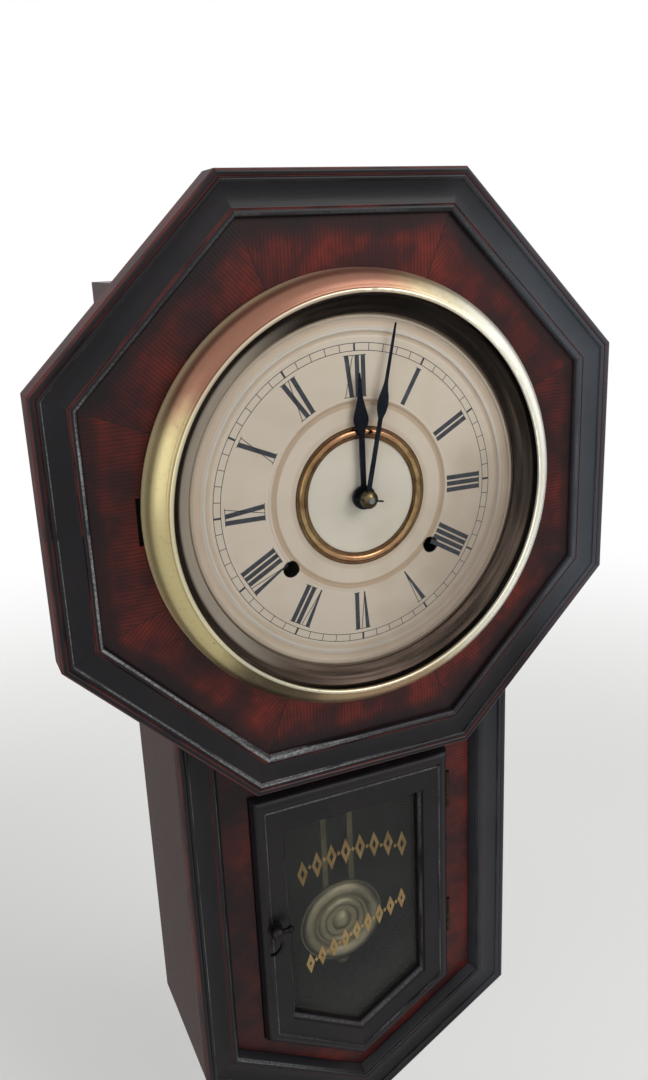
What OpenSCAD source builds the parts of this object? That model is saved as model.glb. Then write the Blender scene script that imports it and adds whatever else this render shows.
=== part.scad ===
// Drop-octagon wall clock with an eight-day movement that strikes on a coiled gong.
// The origin lies on the wall behind the centre of the dial: +Z is up and the front faces -Y.
// Every piece is drawn lying on its back, with x to the right, y up the clock and z from the
// wall to the front, and stand() then turns it upright.

/* [Octagon head] */
// Width of the head across its flats
head_w = 296; // [280:1:320]
// How far the head stands out from the front of the box
head_proud = 23; // [20:0.5:28]
// Depth of the moulding's outer face
rim_depth = 17.7; // [15:0.1:20]
// Width of the outer bead of the head's moulding
head_bead = 5.8; // [5:0.1:7]
// Width of the hollow band of the head's moulding
head_band = 10.3; // [8:0.1:13]
// Width of the inner bead of the head's moulding
head_inner = 4; // [3:0.1:5]
// How far the veneer lies behind the front of the head
field_step = 4.1; // [3.5:0.1:5]
// Thickness of the veneer
veneer_t = 1.5; // [1:0.1:2]
// Radius of the hole in the backing board
head_hole_r = 84; // [80:0.5:86]

/* [Case] */
// Width of the box and of the drop
case_w = 193.4; // [185:0.2:200]
// Distance from the wall to the front of the box
case_d = 81.5; // [78:0.5:84]
// Height of the box's top above the centre of the dial
case_top = 102.8; // [98:0.2:108]
// Depth of the lowest point of the drop below the centre of the dial
case_apex = 387.3; // [380:0.1:400]
// Height of the V at the foot of the drop
v_rise = 57.2; // [50:0.2:62]
// Thickness of the box's boards
board_t = 9; // [7:0.5:11]
// Thickness of the backboard
back_t = 7; // [5:0.5:8]
// Thickness of the drop's front board
front_t = 12; // [10:0.5:14]
// How far the drop's moulding stands out from its front board
drop_rise = 8.1; // [6:0.1:10]
// Width of the outer bead of the drop's moulding
drop_bead = 5.2; // [4.5:0.1:6]
// Width of the hollow band of the drop's moulding
drop_band = 9.9; // [8:0.1:11]
// Width of the inner bead of the drop's moulding
drop_inner = 3; // [2.5:0.1:4]

/* [Lower door] */
// Width of the door
door_w = 119; // [112:1:124]
// Depth of the door's top edge below the centre of the dial
door_top = 162; // [158:0.5:168]
// Depth of the door's lowest point below the centre of the dial
door_apex = 352.7; // [346:0.1:356]
// Width of the door's stiles and of the two members at its foot
door_rail = 18.5; // [16:0.5:21]
// Width of the door's top rail
door_head = 24; // [20:0.5:27]
// Thickness of the door's frame
door_t = 14; // [12:0.5:15]
// How far the door stands out from the drop's front board
door_proud = 6; // [4.5:0.5:7]
// Gap round the door
door_gap = 0.8; // [0.6:0.1:1.2]
// Thickness of the door's glass
glass_t = 2; // [1.5:0.1:2.5]
// Depth of the door's turn handle below the centre of the dial
handle_drop = 242; // [230:1:255]

/* [Bezel and dial] */
// Outer radius of the bezel
bezel_r = 105.6; // [103:0.1:107]
// Radius of the bezel's inner edge
bezel_in_r = 95; // [92:0.1:96]
// Height of the straight wall round the bezel
bezel_wall = 5.5; // [4:0.1:6.5]
// Radius of the rounded section above that wall
bezel_round = 11.6; // [11:0.1:12]
// Thickness of the bezel's metal
bezel_t = 1.2; // [1:0.1:1.4]
// Rise of the domed glass from its edge to its middle
glass_rise = 6; // [5:0.5:8]
// Thickness of the domed glass
dome_t = 2; // [1.6:0.1:2.2]
// Radius of the dial that shows inside the sight ring
dial_seen_r = 86; // [84:0.5:87]
// Outer radius of the dial pan
dial_r = 92; // [90:0.5:93]
// How far the dial stands out from the veneer
dial_rise = 6.1; // [5:0.1:7]
// Thickness of the dial's metal
dial_t = 1; // [0.8:0.1:1.2]
// Outer radius of the brass ring on the dial
ring_out_r = 33.9; // [32:0.1:36]
// Inner radius of the brass ring on the dial
ring_in_r = 28; // [26:0.1:30]
// Radius of the groove pressed round the middle of the dial
groove_r = 45.2; // [43:0.1:47]
// Radius of the winding holes
wind_hole_r = 3.9; // [3.5:0.1:4.5]
// Distance of each winding hole from the middle, sideways
wind_x = 37.8; // [37:0.1:39]
// Distance of each winding hole below the middle
wind_y = 30.5; // [30:0.1:32]

/* [Hands] */
// Length of the minute hand
minute_len = 82.6; // [76:0.1:84]
// Length of the hour hand
hour_len = 59; // [52:0.1:62]
// Where the minute hand points, in degrees after twelve
minute_deg = 13; // [0:1:359]
// Where the hour hand points, in degrees after twelve
hour_deg = -0.5; // [-180:0.5:180]
// Lean of the minute hand towards the dial, in degrees
minute_lean = 2.2; // [1.5:0.1:2.4]
// Height of the hour hand above the dial
hour_lift = 3.2; // [3:0.1:4]
// Height of the minute hand's boss above the dial
minute_lift = 7; // [6.8:0.1:7.5]

/* [Movement] */
// Distance from the wall to the back of the movement
move_z = 16; // [14:0.5:17]
// Distance between the movement's plates
plate_gap = 30; // [30:0.5:31]
// Thickness of the movement's plates
plate_t = 2; // [1.5:0.1:2.5]
// Half the width of the movement's plates
plate_x = 62; // [60:0.5:66]
// Height of the plates above the centre
plate_up = 58; // [57:0.5:62]
// Depth of the plates below the centre
plate_down = 62; // [60:0.5:66]
// Radius of the minute arbor
minute_arbor_r = 1.5; // [1.4:0.05:1.6]
// Radius of the hour wheel's pipe
hour_pipe_r = 2.6; // [2.4:0.1:2.8]
// Radius of the train's arbors
arbor_r = 1; // [0.9:0.05:1.2]
// Radius of their pivots
pivot_r = 0.7; // [0.6:0.05:0.8]
// Running clearance round a pivot
run = 0.05; // [0.03:0.01:0.08]
// Outer radius of the mainsprings
spring_r = 20.5; // [19:0.5:21]
// Height of the mainspring's strip
spring_w = 15; // [12:0.5:16]
// Turns in a mainspring
spring_turns = 7; // [5:1:8]

/* [Pendulum and gong] */
// Depth of the bob's middle below the centre of the dial
bob_drop = 273.6; // [262:0.1:280]
// Radius of the bob
bob_r = 26.5; // [24:0.5:29]
// Distance from the wall to the middle of the pendulum's rods
pendulum_z = 58.2; // [58:0.1:59]
// Distance between the two rods
rod_gap = 17; // [16.5:0.1:18]
// Width of a rod
rod_w = 3.4; // [3:0.1:3.8]
// Height of the suspension's bending point
hang_y = 51; // [50:0.5:52]
// Outer radius of the gong's coil
gong_r = 36; // [32:0.5:38]
// Radius of the gong's wire
gong_wire = 1.4; // [1:0.1:1.8]
// Turns in the gong's coil
gong_turns = 3; // [2:0.5:3.5]

/* [Hidden] */

ebony = "#17120f";
veneer = "#5a1d12";
pine = "#b98d5c";
walnut = "#3c1a12";
brass = "#b5913f";
steel = "#8d9196";
blued = "#20222a";
cream = "#e6dcc6";

// Levels, measured from the wall
case_x = case_w / 2;
head_front = case_d + head_proud;
field_z = head_front - field_step;
board_z = field_z - veneer_t;
rim_z = head_front - rim_depth;
dial_z = field_z + dial_rise;
door_z = case_d + door_proud - door_t;
head_trim = head_bead + head_band + head_inner;
edge_w = 8;
v_deg = atan(v_rise / case_x);
v_tan = v_rise / case_x;
v_cos = cos(v_deg);

// A pentagon with a V foot, counterclockwise from its upper left corner. Its foot lines are
// parallel to those of the case, and inset shrinks its sides and foot but not its top.
function v_plate(half, top, apex, inset = 0) =
    let(w = half - inset, a = -apex + inset / v_cos)
    [[-w, -top], [-w, a + w * v_tan], [0, a], [w, a + w * v_tan], [w, -top]];
function case_outline(inset) = v_plate(case_x, -case_top, case_apex, inset);
function octagon(apothem) =
    [for (i = [0:7]) apothem / cos(22.5) * [cos(22.5 + 45 * i), sin(22.5 + 45 * i)]];
function spin(p, a) = [p.x * cos(a) - p.y * sin(a), p.x * sin(a) + p.y * cos(a)];
// The point that lies ra from a and rb from b, on the left of the line from a to b
function meet(a, ra, b, rb) =
    let(d = norm(b - a), u = (b - a) / d, s = (ra * ra - rb * rb + d * d) / (2 * d))
    a + s * u + sqrt(ra * ra - s * s) * [-u.y, u.x];
function heading(a, b) = atan2(b.y - a.y, b.x - a.x);

module stand() { rotate([90, 0, 0]) children(); }
module slab(z0, t) { translate([0, 0, z0]) linear_extrude(t) children(); }
module turned(z0) { translate([0, 0, z0]) rotate_extrude($fn = 96) children(); }
module rod(p, z0, z1, r) { translate([p.x, p.y, z0]) cylinder(h = z1 - z0, r = r, $fn = 32); }

// One length of a mitred frame: the children are its section, with x inwards and y forwards.
// A glue line as wide as miter_gap parts it from its neighbours. The joint may bend on its way
// from outer to inner, at the corners of the outline bend.
miter_gap = 0.06;
module mitred(outer, inner, i, z0, bend = []) {
    k = (i + 1) % len(outer);
    a = outer[i];
    b = outer[k];
    gap = miter_gap / 2 * (b - a) / norm(b - a);
    far = len(bend) > 0 ? [bend[k] - gap] : [];
    near = len(bend) > 0 ? [bend[i] + gap] : [];
    intersection() {
        slab(z0 - 1, 60)
            polygon(concat([a + gap, b - gap], far, [inner[k] - gap, inner[i] + gap], near));
        translate([a.x, a.y, z0]) rotate([0, 0, heading(a, b) + 90]) rotate([90, 0, 0])
            linear_extrude(norm(b - a)) children();
    }
}

// The moulded face that the head and the drop share: an outer bead, a ridge, a hollow band and
// an inner bead that falls to the field. foot is where it meets the field, top is its full rise.
module molding_section(bead, band, inner, slope, foot, top) {
    bead_round = 1.7;
    ridge_round = 1.1;
    hollow_r = 18;
    band_mid = bead + band / 2;
    band_top = top - 1.5;
    edge = bead + band;
    polygon([[0, foot], [0, top - bead_round], [bead_round, top - 1], [bead, top - 1], [bead, foot]]);
    difference() {
        translate([bead - 0.5, foot]) square([band + 0.5, band_top - foot]);
        translate([band_mid, band_top + hollow_r - 0.9]) circle(r = hollow_r, $fn = 96);
    }
    polygon([[edge, foot], [edge, top - 2], [edge + inner / 2, top - 1.2], [edge + inner, top - 3],
        [edge + inner + slope, foot + 0.5], [edge + inner + slope, foot]]);
    translate([bead_round + 0.1, top - bead_round]) circle(r = bead_round, $fn = 32);
    translate([bead - ridge_round, top - 1.2]) circle(r = ridge_round, $fn = 32);
    translate([edge + inner / 2, top - 0.9 - inner / 2]) circle(r = inner / 2, $fn = 32);
}

// Case

module backboard() {
    color(pine) stand() difference() {
        slab(0, back_t)
            polygon(v_plate(case_x - board_t, board_t - case_top, case_apex - board_t / v_cos));
        for (p = block_screws) rod(p, -1, back_t + 1, screw_r);
        for (p = hanger_screws) rod(p, 0, hanger_t + 4, screw_r);
        rod(gong_p, 2, back_t + 1, screw_r);
        slab(-1, hanger_t + 1) hanger_outline();
    }
}
module side_boards() {
    outer = case_outline(0);
    inner = case_outline(board_t);
    color(walnut) stand() slab(0, case_d) {
        polygon([outer[0], outer[1], inner[1], inner[0]]);
        polygon([outer[4], outer[3], inner[3], inner[4]]);
    }
}
module top_board() {
    w = case_x - board_t;
    color(pine) stand() difference() {
        slab(0, case_d) translate([-w, case_top - board_t]) square([2 * w, board_t]);
        slab(-1, hanger_t + 1) translate([-hanger_w / 2, 0]) square([hanger_w, 2 * case_top]);
    }
}
module bottom_boards() {
    outer = case_outline(0);
    inner = case_outline(board_t);
    color(walnut) stand() slab(0, case_d) for (i = [1, 2])
        polygon([outer[i], outer[i + 1], inner[i + 1], inner[i]]);
}
notch_w = 1.6;
notch_h = 22;
notch_deep = 4;
module finger_notch() {
    translate([-bezel_r - notch_w, -notch_h / 2 + 1.5, board_z - notch_deep + veneer_t])
        cube([notch_w + 3, notch_h, notch_deep + 5]);
}
module octagon_board() {
    color(pine) stand() difference() {
        slab(case_d, board_z - case_d) polygon(octagon(head_w / 2 - edge_w));
        rod([0, 0], case_d - 1, board_z + 1, head_hole_r);
        finger_notch();
        for (p = dial_screws) rod(p, board_z - 8, board_z + 1, dial_screw_r);
    }
}
module octagon_veneer() {
    outer = octagon(head_w / 2 - head_trim);
    color(veneer) stand() difference() {
        slab(board_z, veneer_t) for (i = [0:7])
            polygon([outer[i], outer[(i + 1) % 8], outer[(i + 1) % 8] / 2, outer[i] / 2]);
        rod([0, 0], board_z - 1, field_z + 1, head_hole_r);
        finger_notch();
        bezel_base_mortise();
        for (p = dial_screws) rod(p, board_z - 1, field_z + 1, dial_screw_r);
    }
}
module octagon_molding() {
    outer = octagon(head_w / 2);
    inner = octagon(head_w / 2 - head_trim);
    seat = board_z - rim_z;
    color(ebony) stand() for (i = [0:7]) mitred(outer, inner, i, rim_z) {
        square([edge_w, seat]);
        molding_section(head_bead, head_band, head_inner, 0, seat, rim_depth);
    }
}
front_back = case_d - front_t;
front_top = -100;
module drop_front() {
    hole = v_plate(door_w / 2 + door_gap, door_top - door_gap, door_apex + door_gap / v_cos);
    color(veneer) stand() difference() {
        slab(front_back, front_t)
            polygon(v_plate(case_x - board_t, -front_top, case_apex - board_t / v_cos));
        slab(front_back - 1, front_t + 2) polygon(hole);
        door_base_mortises();
    }
}
module drop_molding() {
    slope = 2.6;
    outer = v_plate(case_x, -front_top, case_apex);
    inner = v_plate(case_x, -front_top, case_apex, drop_bead + drop_band + drop_inner + slope);
    color(ebony) stand() difference() {
        for (i = [0:3]) mitred(outer, inner, i, case_d)
            molding_section(drop_bead, drop_band, drop_inner, slope, 0, drop_rise);
        slab(case_d - 1, 30) polygon(octagon(head_w / 2 - edge_w));
        slab(rim_z, 30) polygon(octagon(head_w / 2));
    }
}

// Hanging plate and screws

hanger_t = 1.5;
hanger_w = 26;
hanger_screws = [for (s = [-1, 1]) [s * 14, case_top - board_t - 10]];
screw_r = 1.5;
screw_head_r = 3;
module hanger_outline() {
    translate([-20, case_top - board_t - 16]) square([40, 16]);
}
module hanger_plate() {
    key_y = case_top + 11;
    color(steel) stand() difference() {
        slab(0, hanger_t) {
            hanger_outline();
            translate([-hanger_w / 2, case_top - board_t - 1])
                square([hanger_w, key_y - case_top + board_t + 1]);
            translate([0, key_y]) circle(r = hanger_w / 2, $fn = 64);
        }
        rod([0, key_y], -1, hanger_t + 1, hang_hole_r);
        slab(-1, hanger_t + 2) translate([-hang_slot / 2, key_y]) square([hang_slot, 9.5]);
        for (p = hanger_screws) rod(p, -1, hanger_t + 1, screw_r);
    }
}
hang_hole_r = 4.5;
hang_slot = 4.6;
module screw(p, z0, z1, r, head_r, head_t) {
    rod(p, z0, z1, r);
    difference() {
        rod(p, z1, z1 + head_t, head_r);
        translate([p.x - head_r, p.y - 0.4, z1 + head_t - 0.6]) cube([2 * head_r, 0.8, 1]);
    }
}
block_x = plate_x - 18;
block_w = 14;
block_ys = [-plate_down + 12, plate_up - 10];
block_screws = [for (s = [-1, 1], y = [block_ys[0] + 10, block_ys[1] - 6]) [s * block_x, y]];
dial_screw_r = 0.9;
dial_screws = [for (a = [45:90:315]) (dial_r - 3) * [cos(a), sin(a)]];
module wood_screws() {
    color(brass) stand() {
        for (p = dial_screws) screw(p, board_z - 8, dial_z, dial_screw_r, 1.9, 1);
        for (p = block_screws) screw(p, 1, move_z + plate_t, screw_r, screw_head_r, 1.6);
        for (p = hanger_screws) rod(p, 0, hanger_t + 4, screw_r);
        rod(gong_p, 2, back_t + 3, screw_r);
    }
}

// Dial

module dial_pan() {
    t = dial_t;
    color(cream) stand() difference() {
        turned(dial_z) difference() {
            union() {
                translate([0, -t]) square([dial_r, t]);
                translate([dial_r - t, -dial_rise]) square([t, dial_rise]);
                translate([dial_r - 5, -dial_rise]) square([5, t]);
                translate([dial_seen_r - 1.6, -0.4]) circle(r = 1.4, $fn = 32);
                translate([dial_seen_r - 7.6, -0.6]) circle(r = 1.2, $fn = 32);
                translate([groove_r + 1.6, -0.7]) circle(r = 1.1, $fn = 32);
            }
            translate([dial_seen_r - 4.6, 2.2]) circle(r = 2.8, $fn = 32);
            translate([dial_seen_r - 9.8, 1.6]) circle(r = 2, $fn = 32);
            translate([groove_r - 0.4, 0.9]) circle(r = 1.3, $fn = 32);
        }
        rod([0, 0], dial_z - 3, dial_z + 2, hour_pipe_r + 1);
        for (s = [-1, 1]) rod([s * wind_x, -wind_y], dial_z - 3, dial_z + 2, wind_hole_r);
        for (p = dial_screws) rod(p, field_z - 1, dial_z + 2, dial_screw_r);
    }
}
module dial_ring() {
    mid = (ring_out_r + ring_in_r) / 2;
    half = (ring_out_r - ring_in_r) / 2;
    color(brass) stand() turned(dial_z) {
        translate([ring_in_r, 0]) square([2 * half, 0.6]);
        intersection() {
            translate([mid, -0.3]) circle(r = half - 0.6, $fn = 48);
            translate([ring_in_r, 0]) square([2 * half, 4]);
        }
    }
}

// Bezel, turning on a pin at the right of the head

crown_r = bezel_r - bezel_round;
crown_z = field_z + bezel_wall;
bezel_back = field_z + 0.3;
bezel_bead_r = 1.1;
bezel_top = crown_z + bezel_round + 0.6;
glass_r = bezel_in_r + 1.8;
glass_seat = crown_z + sqrt(pow(bezel_round - bezel_t, 2) - pow(glass_r - crown_r, 2));
glass_top = min(bezel_top - 2 * bezel_bead_r, glass_seat) - 0.3;
dome_sphere = (pow(glass_r, 2) + pow(glass_rise, 2)) / (2 * glass_rise);
module bezel() {
    color(brass) stand() turned(0) {
        difference() {
            intersection() {
                translate([crown_r, crown_z]) circle(r = bezel_round, $fn = 96);
                translate([bezel_in_r, crown_z]) square([bezel_r, bezel_round + 1]);
            }
            translate([crown_r, crown_z]) circle(r = bezel_round - bezel_t, $fn = 96);
            translate([bezel_in_r + 3.4, crown_z + bezel_round - 0.1]) circle(r = 0.8, $fn = 24);
        }
        translate([bezel_r - bezel_t, bezel_back]) square([bezel_t, crown_z - bezel_back]);
        translate([bezel_in_r + bezel_bead_r, bezel_top - bezel_bead_r])
            circle(r = bezel_bead_r, $fn = 32);
    }
}
module bezel_glass() {
    color("#cfe0e0", 0.3) stand() difference() {
        intersection() {
            translate([0, 0, glass_top + glass_rise - dome_sphere]) sphere(r = dome_sphere, $fn = 180);
            rod([0, 0], glass_top - dome_t, glass_top + glass_rise + 1, glass_r);
        }
        translate([0, 0, glass_top + glass_rise - dome_sphere])
            sphere(r = dome_sphere - dome_t, $fn = 180);
    }
}
module sight_ring() {
    flange = glass_top - dome_t;
    lip_z = dial_z + 1.5;
    t = 0.8;
    cone_r = bezel_in_r - 1.3;
    color("#3b352b") stand() turned(0) {
        polygon([[dial_seen_r, lip_z], [cone_r, flange - t], [glass_r + 2.6, flange - t],
            [glass_r + 2.6, flange], [cone_r, flange], [dial_seen_r, lip_z + t]]);
        translate([dial_seen_r + 0.5, lip_z + t / 2]) circle(r = 0.5, $fn = 24);
    }
}

// Hinges: the pin stands on the clock, the moving leaf has the middle knuckle
knuckle_r = 1.3;
pin_r = 0.6;
pin_head_r = 1.1;
pin_head_t = 0.8;
hinge_h = 21;
leaf_t = 0.8;
bezel_pin = [bezel_r + 1.7, field_z + 1.9];
door_pin = [door_w / 2 + 1.7, case_d + 0.3];
knuckle_bed = 1.5;
door_hinge_ys = [-door_top - 28, -door_apex + 76];
module knuckles(pin, y, moving) {
    third = hinge_h / 3;
    ys = moving ? [y - third / 2 + 0.15] : [y - hinge_h / 2, y + third / 2 + 0.15];
    h = third - (moving ? 0.3 : 0.15);
    for (y0 = ys) difference() {
        translate([pin.x, y0, pin.y]) rotate([-90, 0, 0]) cylinder(h = h, r = knuckle_r, $fn = 32);
        translate([pin.x, y0 - 1, pin.y]) rotate([-90, 0, 0])
            cylinder(h = h + 2, r = pin_r + (moving ? run : 0), $fn = 32);
    }
}
// The strip from a knuckle to its leaf, as a box from [x0, z0] to [x1, z1], kept clear of the pin
module knuckle_arm(pin, y, moving, x0, z0, x1, z1) {
    third = hinge_h / 3;
    ys = moving ? [y - third / 2 + 0.15] : [y - hinge_h / 2, y + third / 2 + 0.15];
    h = third - (moving ? 0.3 : 0.15);
    for (y0 = ys) difference() {
        translate([x0, y0, z0]) cube([x1 - x0, h, z1 - z0]);
        translate([pin.x, y0 - 1, pin.y]) rotate([-90, 0, 0])
            cylinder(h = h + 2, r = knuckle_r - 0.2, $fn = 32);
    }
}
bezel_base_x = 11;
module bezel_base_mortise() {
    translate([bezel_pin.x - bezel_base_x, -hinge_h / 2, field_z - leaf_t])
        cube([bezel_base_x + 0.6, hinge_h, leaf_t + 1]);
}
module door_base_mortises() {
    x0 = door_w / 2 + door_gap - 1;
    bed_h = hinge_h + 2 * pin_head_t + 0.8;
    for (y = door_hinge_ys) {
        translate([x0, y - hinge_h / 2, door_z + 1]) cube([1 + leaf_t, hinge_h, case_d - door_z]);
        translate([x0, y - bed_h / 2, case_d - knuckle_bed])
            cube([door_pin.x + knuckle_r + 0.4 - x0, bed_h, knuckle_bed + 1]);
    }
}
module bezel_hinge_leaf() {
    color(brass) stand() {
        knuckles(bezel_pin, 0, true);
        difference() {
            knuckle_arm(bezel_pin, 0, true, bezel_r - 2, bezel_pin.y - 0.5, bezel_pin.x,
                bezel_pin.y + 0.5);
            translate([0, 0, field_z]) cylinder(h = bezel_round, r = bezel_r, $fn = 360);
        }
    }
}
module hinge_bases() {
    color(brass) stand() {
        knuckles(bezel_pin, 0, false);
        knuckle_arm(bezel_pin, 0, false, bezel_pin.x - 0.5, field_z - leaf_t, bezel_pin.x + 0.5,
            bezel_pin.y);
        translate([bezel_pin.x - bezel_base_x, -hinge_h / 2, field_z - leaf_t])
            cube([bezel_base_x + 0.5, hinge_h, leaf_t]);
        for (y = door_hinge_ys) {
            x0 = door_w / 2 + door_gap;
            knuckles(door_pin, y, false);
            knuckle_arm(door_pin, y, false, x0, case_d - knuckle_bed - 0.1, x0 + leaf_t, door_pin.y);
            translate([x0, y - hinge_h / 2, door_z + 1])
                cube([leaf_t, hinge_h, case_d - knuckle_bed - door_z - 1]);
        }
    }
}
module hinge_pin(pin, y) {
    translate([pin.x, y - hinge_h / 2 - pin_head_t, pin.y]) rotate([-90, 0, 0]) {
        cylinder(h = hinge_h + 2 * pin_head_t, r = pin_r, $fn = 32);
        for (z = [0, hinge_h + pin_head_t]) translate([0, 0, z])
            cylinder(h = pin_head_t, r = pin_head_r, $fn = 32);
    }
}
module hinge_pins() {
    color(steel) stand() {
        hinge_pin(bezel_pin, 0);
        for (y = door_hinge_ys) hinge_pin(door_pin, y);
    }
}
module door_hinge_leaves() {
    x1 = door_w / 2;
    color(brass) stand() for (y = door_hinge_ys) {
        knuckles(door_pin, y, true);
        knuckle_arm(door_pin, y, true, x1 - leaf_t, door_pin.y - 0.5, door_pin.x, door_pin.y + 0.5);
        translate([x1 - leaf_t, y - hinge_h / 2, door_z + 1])
            cube([leaf_t, hinge_h, door_pin.y - door_z - 0.5]);
    }
}
// A spring tongue on the veneer, just inside the bezel's wall, that holds the bezel shut
module bezel_catch() {
    color(brass) stand() translate([-bezel_r + bezel_t + 0.5, 0, field_z]) {
        translate([0, -5, 0]) cube([8, 10, 0.8]);
        translate([0, -4, 0]) cube([0.8, 8, bezel_wall - 1]);
    }
}

// Lower door

function door_outline(inset, head_inset) = v_plate(door_w / 2, door_top + head_inset, door_apex, inset);
glass_lap = 4;
door_arris = 6.7;
glass_outline = door_outline(door_rail - glass_lap, door_head - glass_lap);
sight_outline = door_outline(door_rail, door_head);
module door_section(rail) {
    ovolo = 5;
    polygon([[0, 0], [rail - glass_lap, 0], [rail - glass_lap, glass_front - door_z],
        [rail, glass_front - door_z], [rail, glass_front - door_z + 2],
        [rail - 2.2, door_t - 1.5], [door_arris, door_t - 1.1], [door_arris, door_t - 5],
        [0, door_t - 5]]);
    intersection() {
        translate([ovolo, door_t - ovolo]) circle(r = ovolo, $fn = 48);
        translate([0, door_t - ovolo]) square([door_arris, ovolo]);
    }
}
glass_front = door_z + 6.5;
handle_p = [-door_w / 2 + 7.9, -handle_drop];
spindle_r = 1.6;
module door_frame() {
    outer = door_outline(0, 0);
    bend = door_outline(door_arris, door_arris);
    color(ebony) stand() difference() {
        for (i = [0:4]) mitred(outer, sight_outline, i, door_z, bend)
            door_section(i == 4 ? door_head : door_rail);
        for (y = door_hinge_ys) translate([door_w / 2 - leaf_t, y - hinge_h / 2, door_z + 1])
            cube([leaf_t + 1, hinge_h, door_pin.y + 0.5 - door_z - 1]);
        rod(handle_p, door_z - 1, door_z + door_t + 1, spindle_r + run);
    }
}
module door_glass() {
    color("#2f3a36", 0.5) stand() slab(glass_front - glass_t, glass_t)
        polygon(glass_outline);
}
module glazing_bead() {
    bead_t = glass_front - glass_t - door_z - 0.6;
    color(walnut) stand() for (i = [0:4]) mitred(glass_outline, sight_outline, i, door_z + 0.6)
        polygon([[0, 0], [glass_lap - 1.4, 0], [glass_lap, 1.4], [glass_lap, bead_t], [0, bead_t]]);
}
module door_handle() {
    front = door_z + door_t;
    knob_r = 3.8;
    knob_z = front + knob_r + 0.8;
    bar_r = 1.5;
    tip_r = 2.2;
    reach = 7.4;
    tail_r = 5.6;
    color(blued) stand() translate([handle_p.x, handle_p.y, 0]) {
        // Spindle, washers and knob
        rotate_extrude($fn = 96) {
            translate([0, front_back - 3]) square([spindle_r, knob_z - front_back + 3]);
            translate([0, door_z - 1.1]) square([3, 0.8]);
            translate([0, front + 0.3]) square([4.2, 0.8]);
            translate([0, front + 0.7]) square([1.9, knob_r]);
            intersection() {
                translate([0, knob_z]) circle(r = knob_r, $fn = 64);
                translate([0, knob_z - knob_r]) square(2 * knob_r);
            }
        }
        // The bar and its round tip
        translate([0, 0, knob_z]) rotate([0, 90, 0]) rotate_extrude($fn = 64) {
            square([bar_r, reach]);
            intersection() {
                translate([0, reach]) circle(r = tip_r, $fn = 48);
                translate([0, reach - tip_r]) square(2 * tip_r);
            }
        }
        // The crescent below the knob
        slab(knob_z - 0.9, 1.8) translate([-2.2, -7.6]) difference() {
            circle(r = tail_r, $fn = 64);
            translate([-1.9, 0.7]) circle(r = tail_r, $fn = 64);
        }
        // The latch tongue behind the frame hangs along the stile when the door is free
        translate([-2.5, -15, front_back - 3]) cube([5, 17, 1.8]);
    }
}
module latch_keeper() {
    color(steel) stand() difference() {
        translate([handle_p.x - 19, handle_p.y - 6, front_back - 0.6]) cube([9, 12, 0.6]);
        for (s = [-1, 1]) rod([handle_p.x - 16, handle_p.y + 4 * s], front_back - 1, front_back + 1, 0.8);
    }
}

// Hands

function mirrored(half) = concat(half, [for (i = [len(half) - 1:-1:0]) [-half[i].x, half[i].y]]);
module hour_hand() {
    z0 = dial_z + hour_lift;
    n = hour_len;
    color(blued) stand() rotate([0, 0, -hour_deg]) difference() {
        union() {
            slab(z0 - 0.35, 0.7) polygon(mirrored([[1.3, 3], [1.45, n - 28.5], [2.1, n - 27.4],
                [1.9, n - 26.4], [3.2, n - 24.6], [3.85, n - 22.4], [3.7, n - 20.2], [2.6, n - 16.6],
                [1.5, n - 12.4], [1.05, n - 9], [0.7, n - 3], [0.35, n]]));
            rod([0, 0], z0 - 1, z0 + 0.9, 5.8);
        }
        rod([0, 0], z0 - 2, z0 + 2, hour_pipe_r);
    }
}
module minute_hand() {
    z0 = dial_z + minute_lift;
    n = minute_len;
    color(blued) stand() rotate([0, 0, -minute_deg]) difference() {
        union() {
            translate([0, 0, z0]) rotate([-minute_lean, 0, 0]) slab(-0.3, 0.6)
                polygon(mirrored([[1.2, 2], [1.1, n - 44.4], [1.6, n - 43], [2.5, n - 40.4],
                    [2.85, n - 37.4], [2.5, n - 34.4], [1.6, n - 31], [0.85, n - 27], [0.6, n - 6],
                    [0.35, n]]));
            rod([0, 0], z0 - 1, z0 + 1, 4);
        }
        rod([0, 0], z0 - 2, z0 + 2, minute_arbor_r);
    }
}
nut_z = dial_z + minute_lift + 1;
nut_r = 4.3;
pin_z = nut_z + 2;
module across_nut(r, len) {
    translate([-len / 2, 0, pin_z]) rotate([0, 90, 0]) cylinder(h = len, r = r, $fn = 24);
}
module hand_nut() {
    color(brass) stand() rotate([0, 0, -12]) difference() {
        intersection() {
            rod([0, 0], nut_z, nut_z + 3.5, nut_r);
            translate([0, 0, nut_z - 2.1]) sphere(r = 5.6, $fn = 64);
        }
        rod([0, 0], nut_z - 1, nut_z + 5, minute_arbor_r);
        across_nut(taper_r, 20);
    }
}
taper_r = 0.45;
module taper_pin() {
    color(blued) stand() rotate([0, 0, -12]) across_nut(taper_r, 14);
}

// Movement frame

back_z = move_z + plate_t;
front_z = back_z + plate_gap;
face_z = front_z + plate_t;
center = [0, 0];
time_wind = [wind_x, -wind_y];
strike_wind = [-wind_x, -wind_y];
// Counts of teeth and sizes of teeth
great_n = 54;
great_m = 0.9;
great_pinion = 12;
second_n = 48;
second_m = 0.75;
center_pinion = 12;
center_n = 70;
center_m = 0.5;
third_pinion = 7;
third_n = 56;
third_m = 0.45;
escape_pinion = 7;
escape_n = 40;
escape_r = 13.5;
strike_n = 54;
strike_m = 0.6;
pin_pinion = 9;
pin_n = 56;
pin_m = 0.45;
warn_pinion = 7;
warn_n = 49;
warn_m = 0.4;
fly_pinion = 7;
cannon_n = 12;
motion_n = 36;
motion_m = 0.5;
motion_pinion = 10;
hour_n = 40;
hour_m = 0.48;
function mesh_gap(a, b, m) = (a + b) * m / 2;

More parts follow.
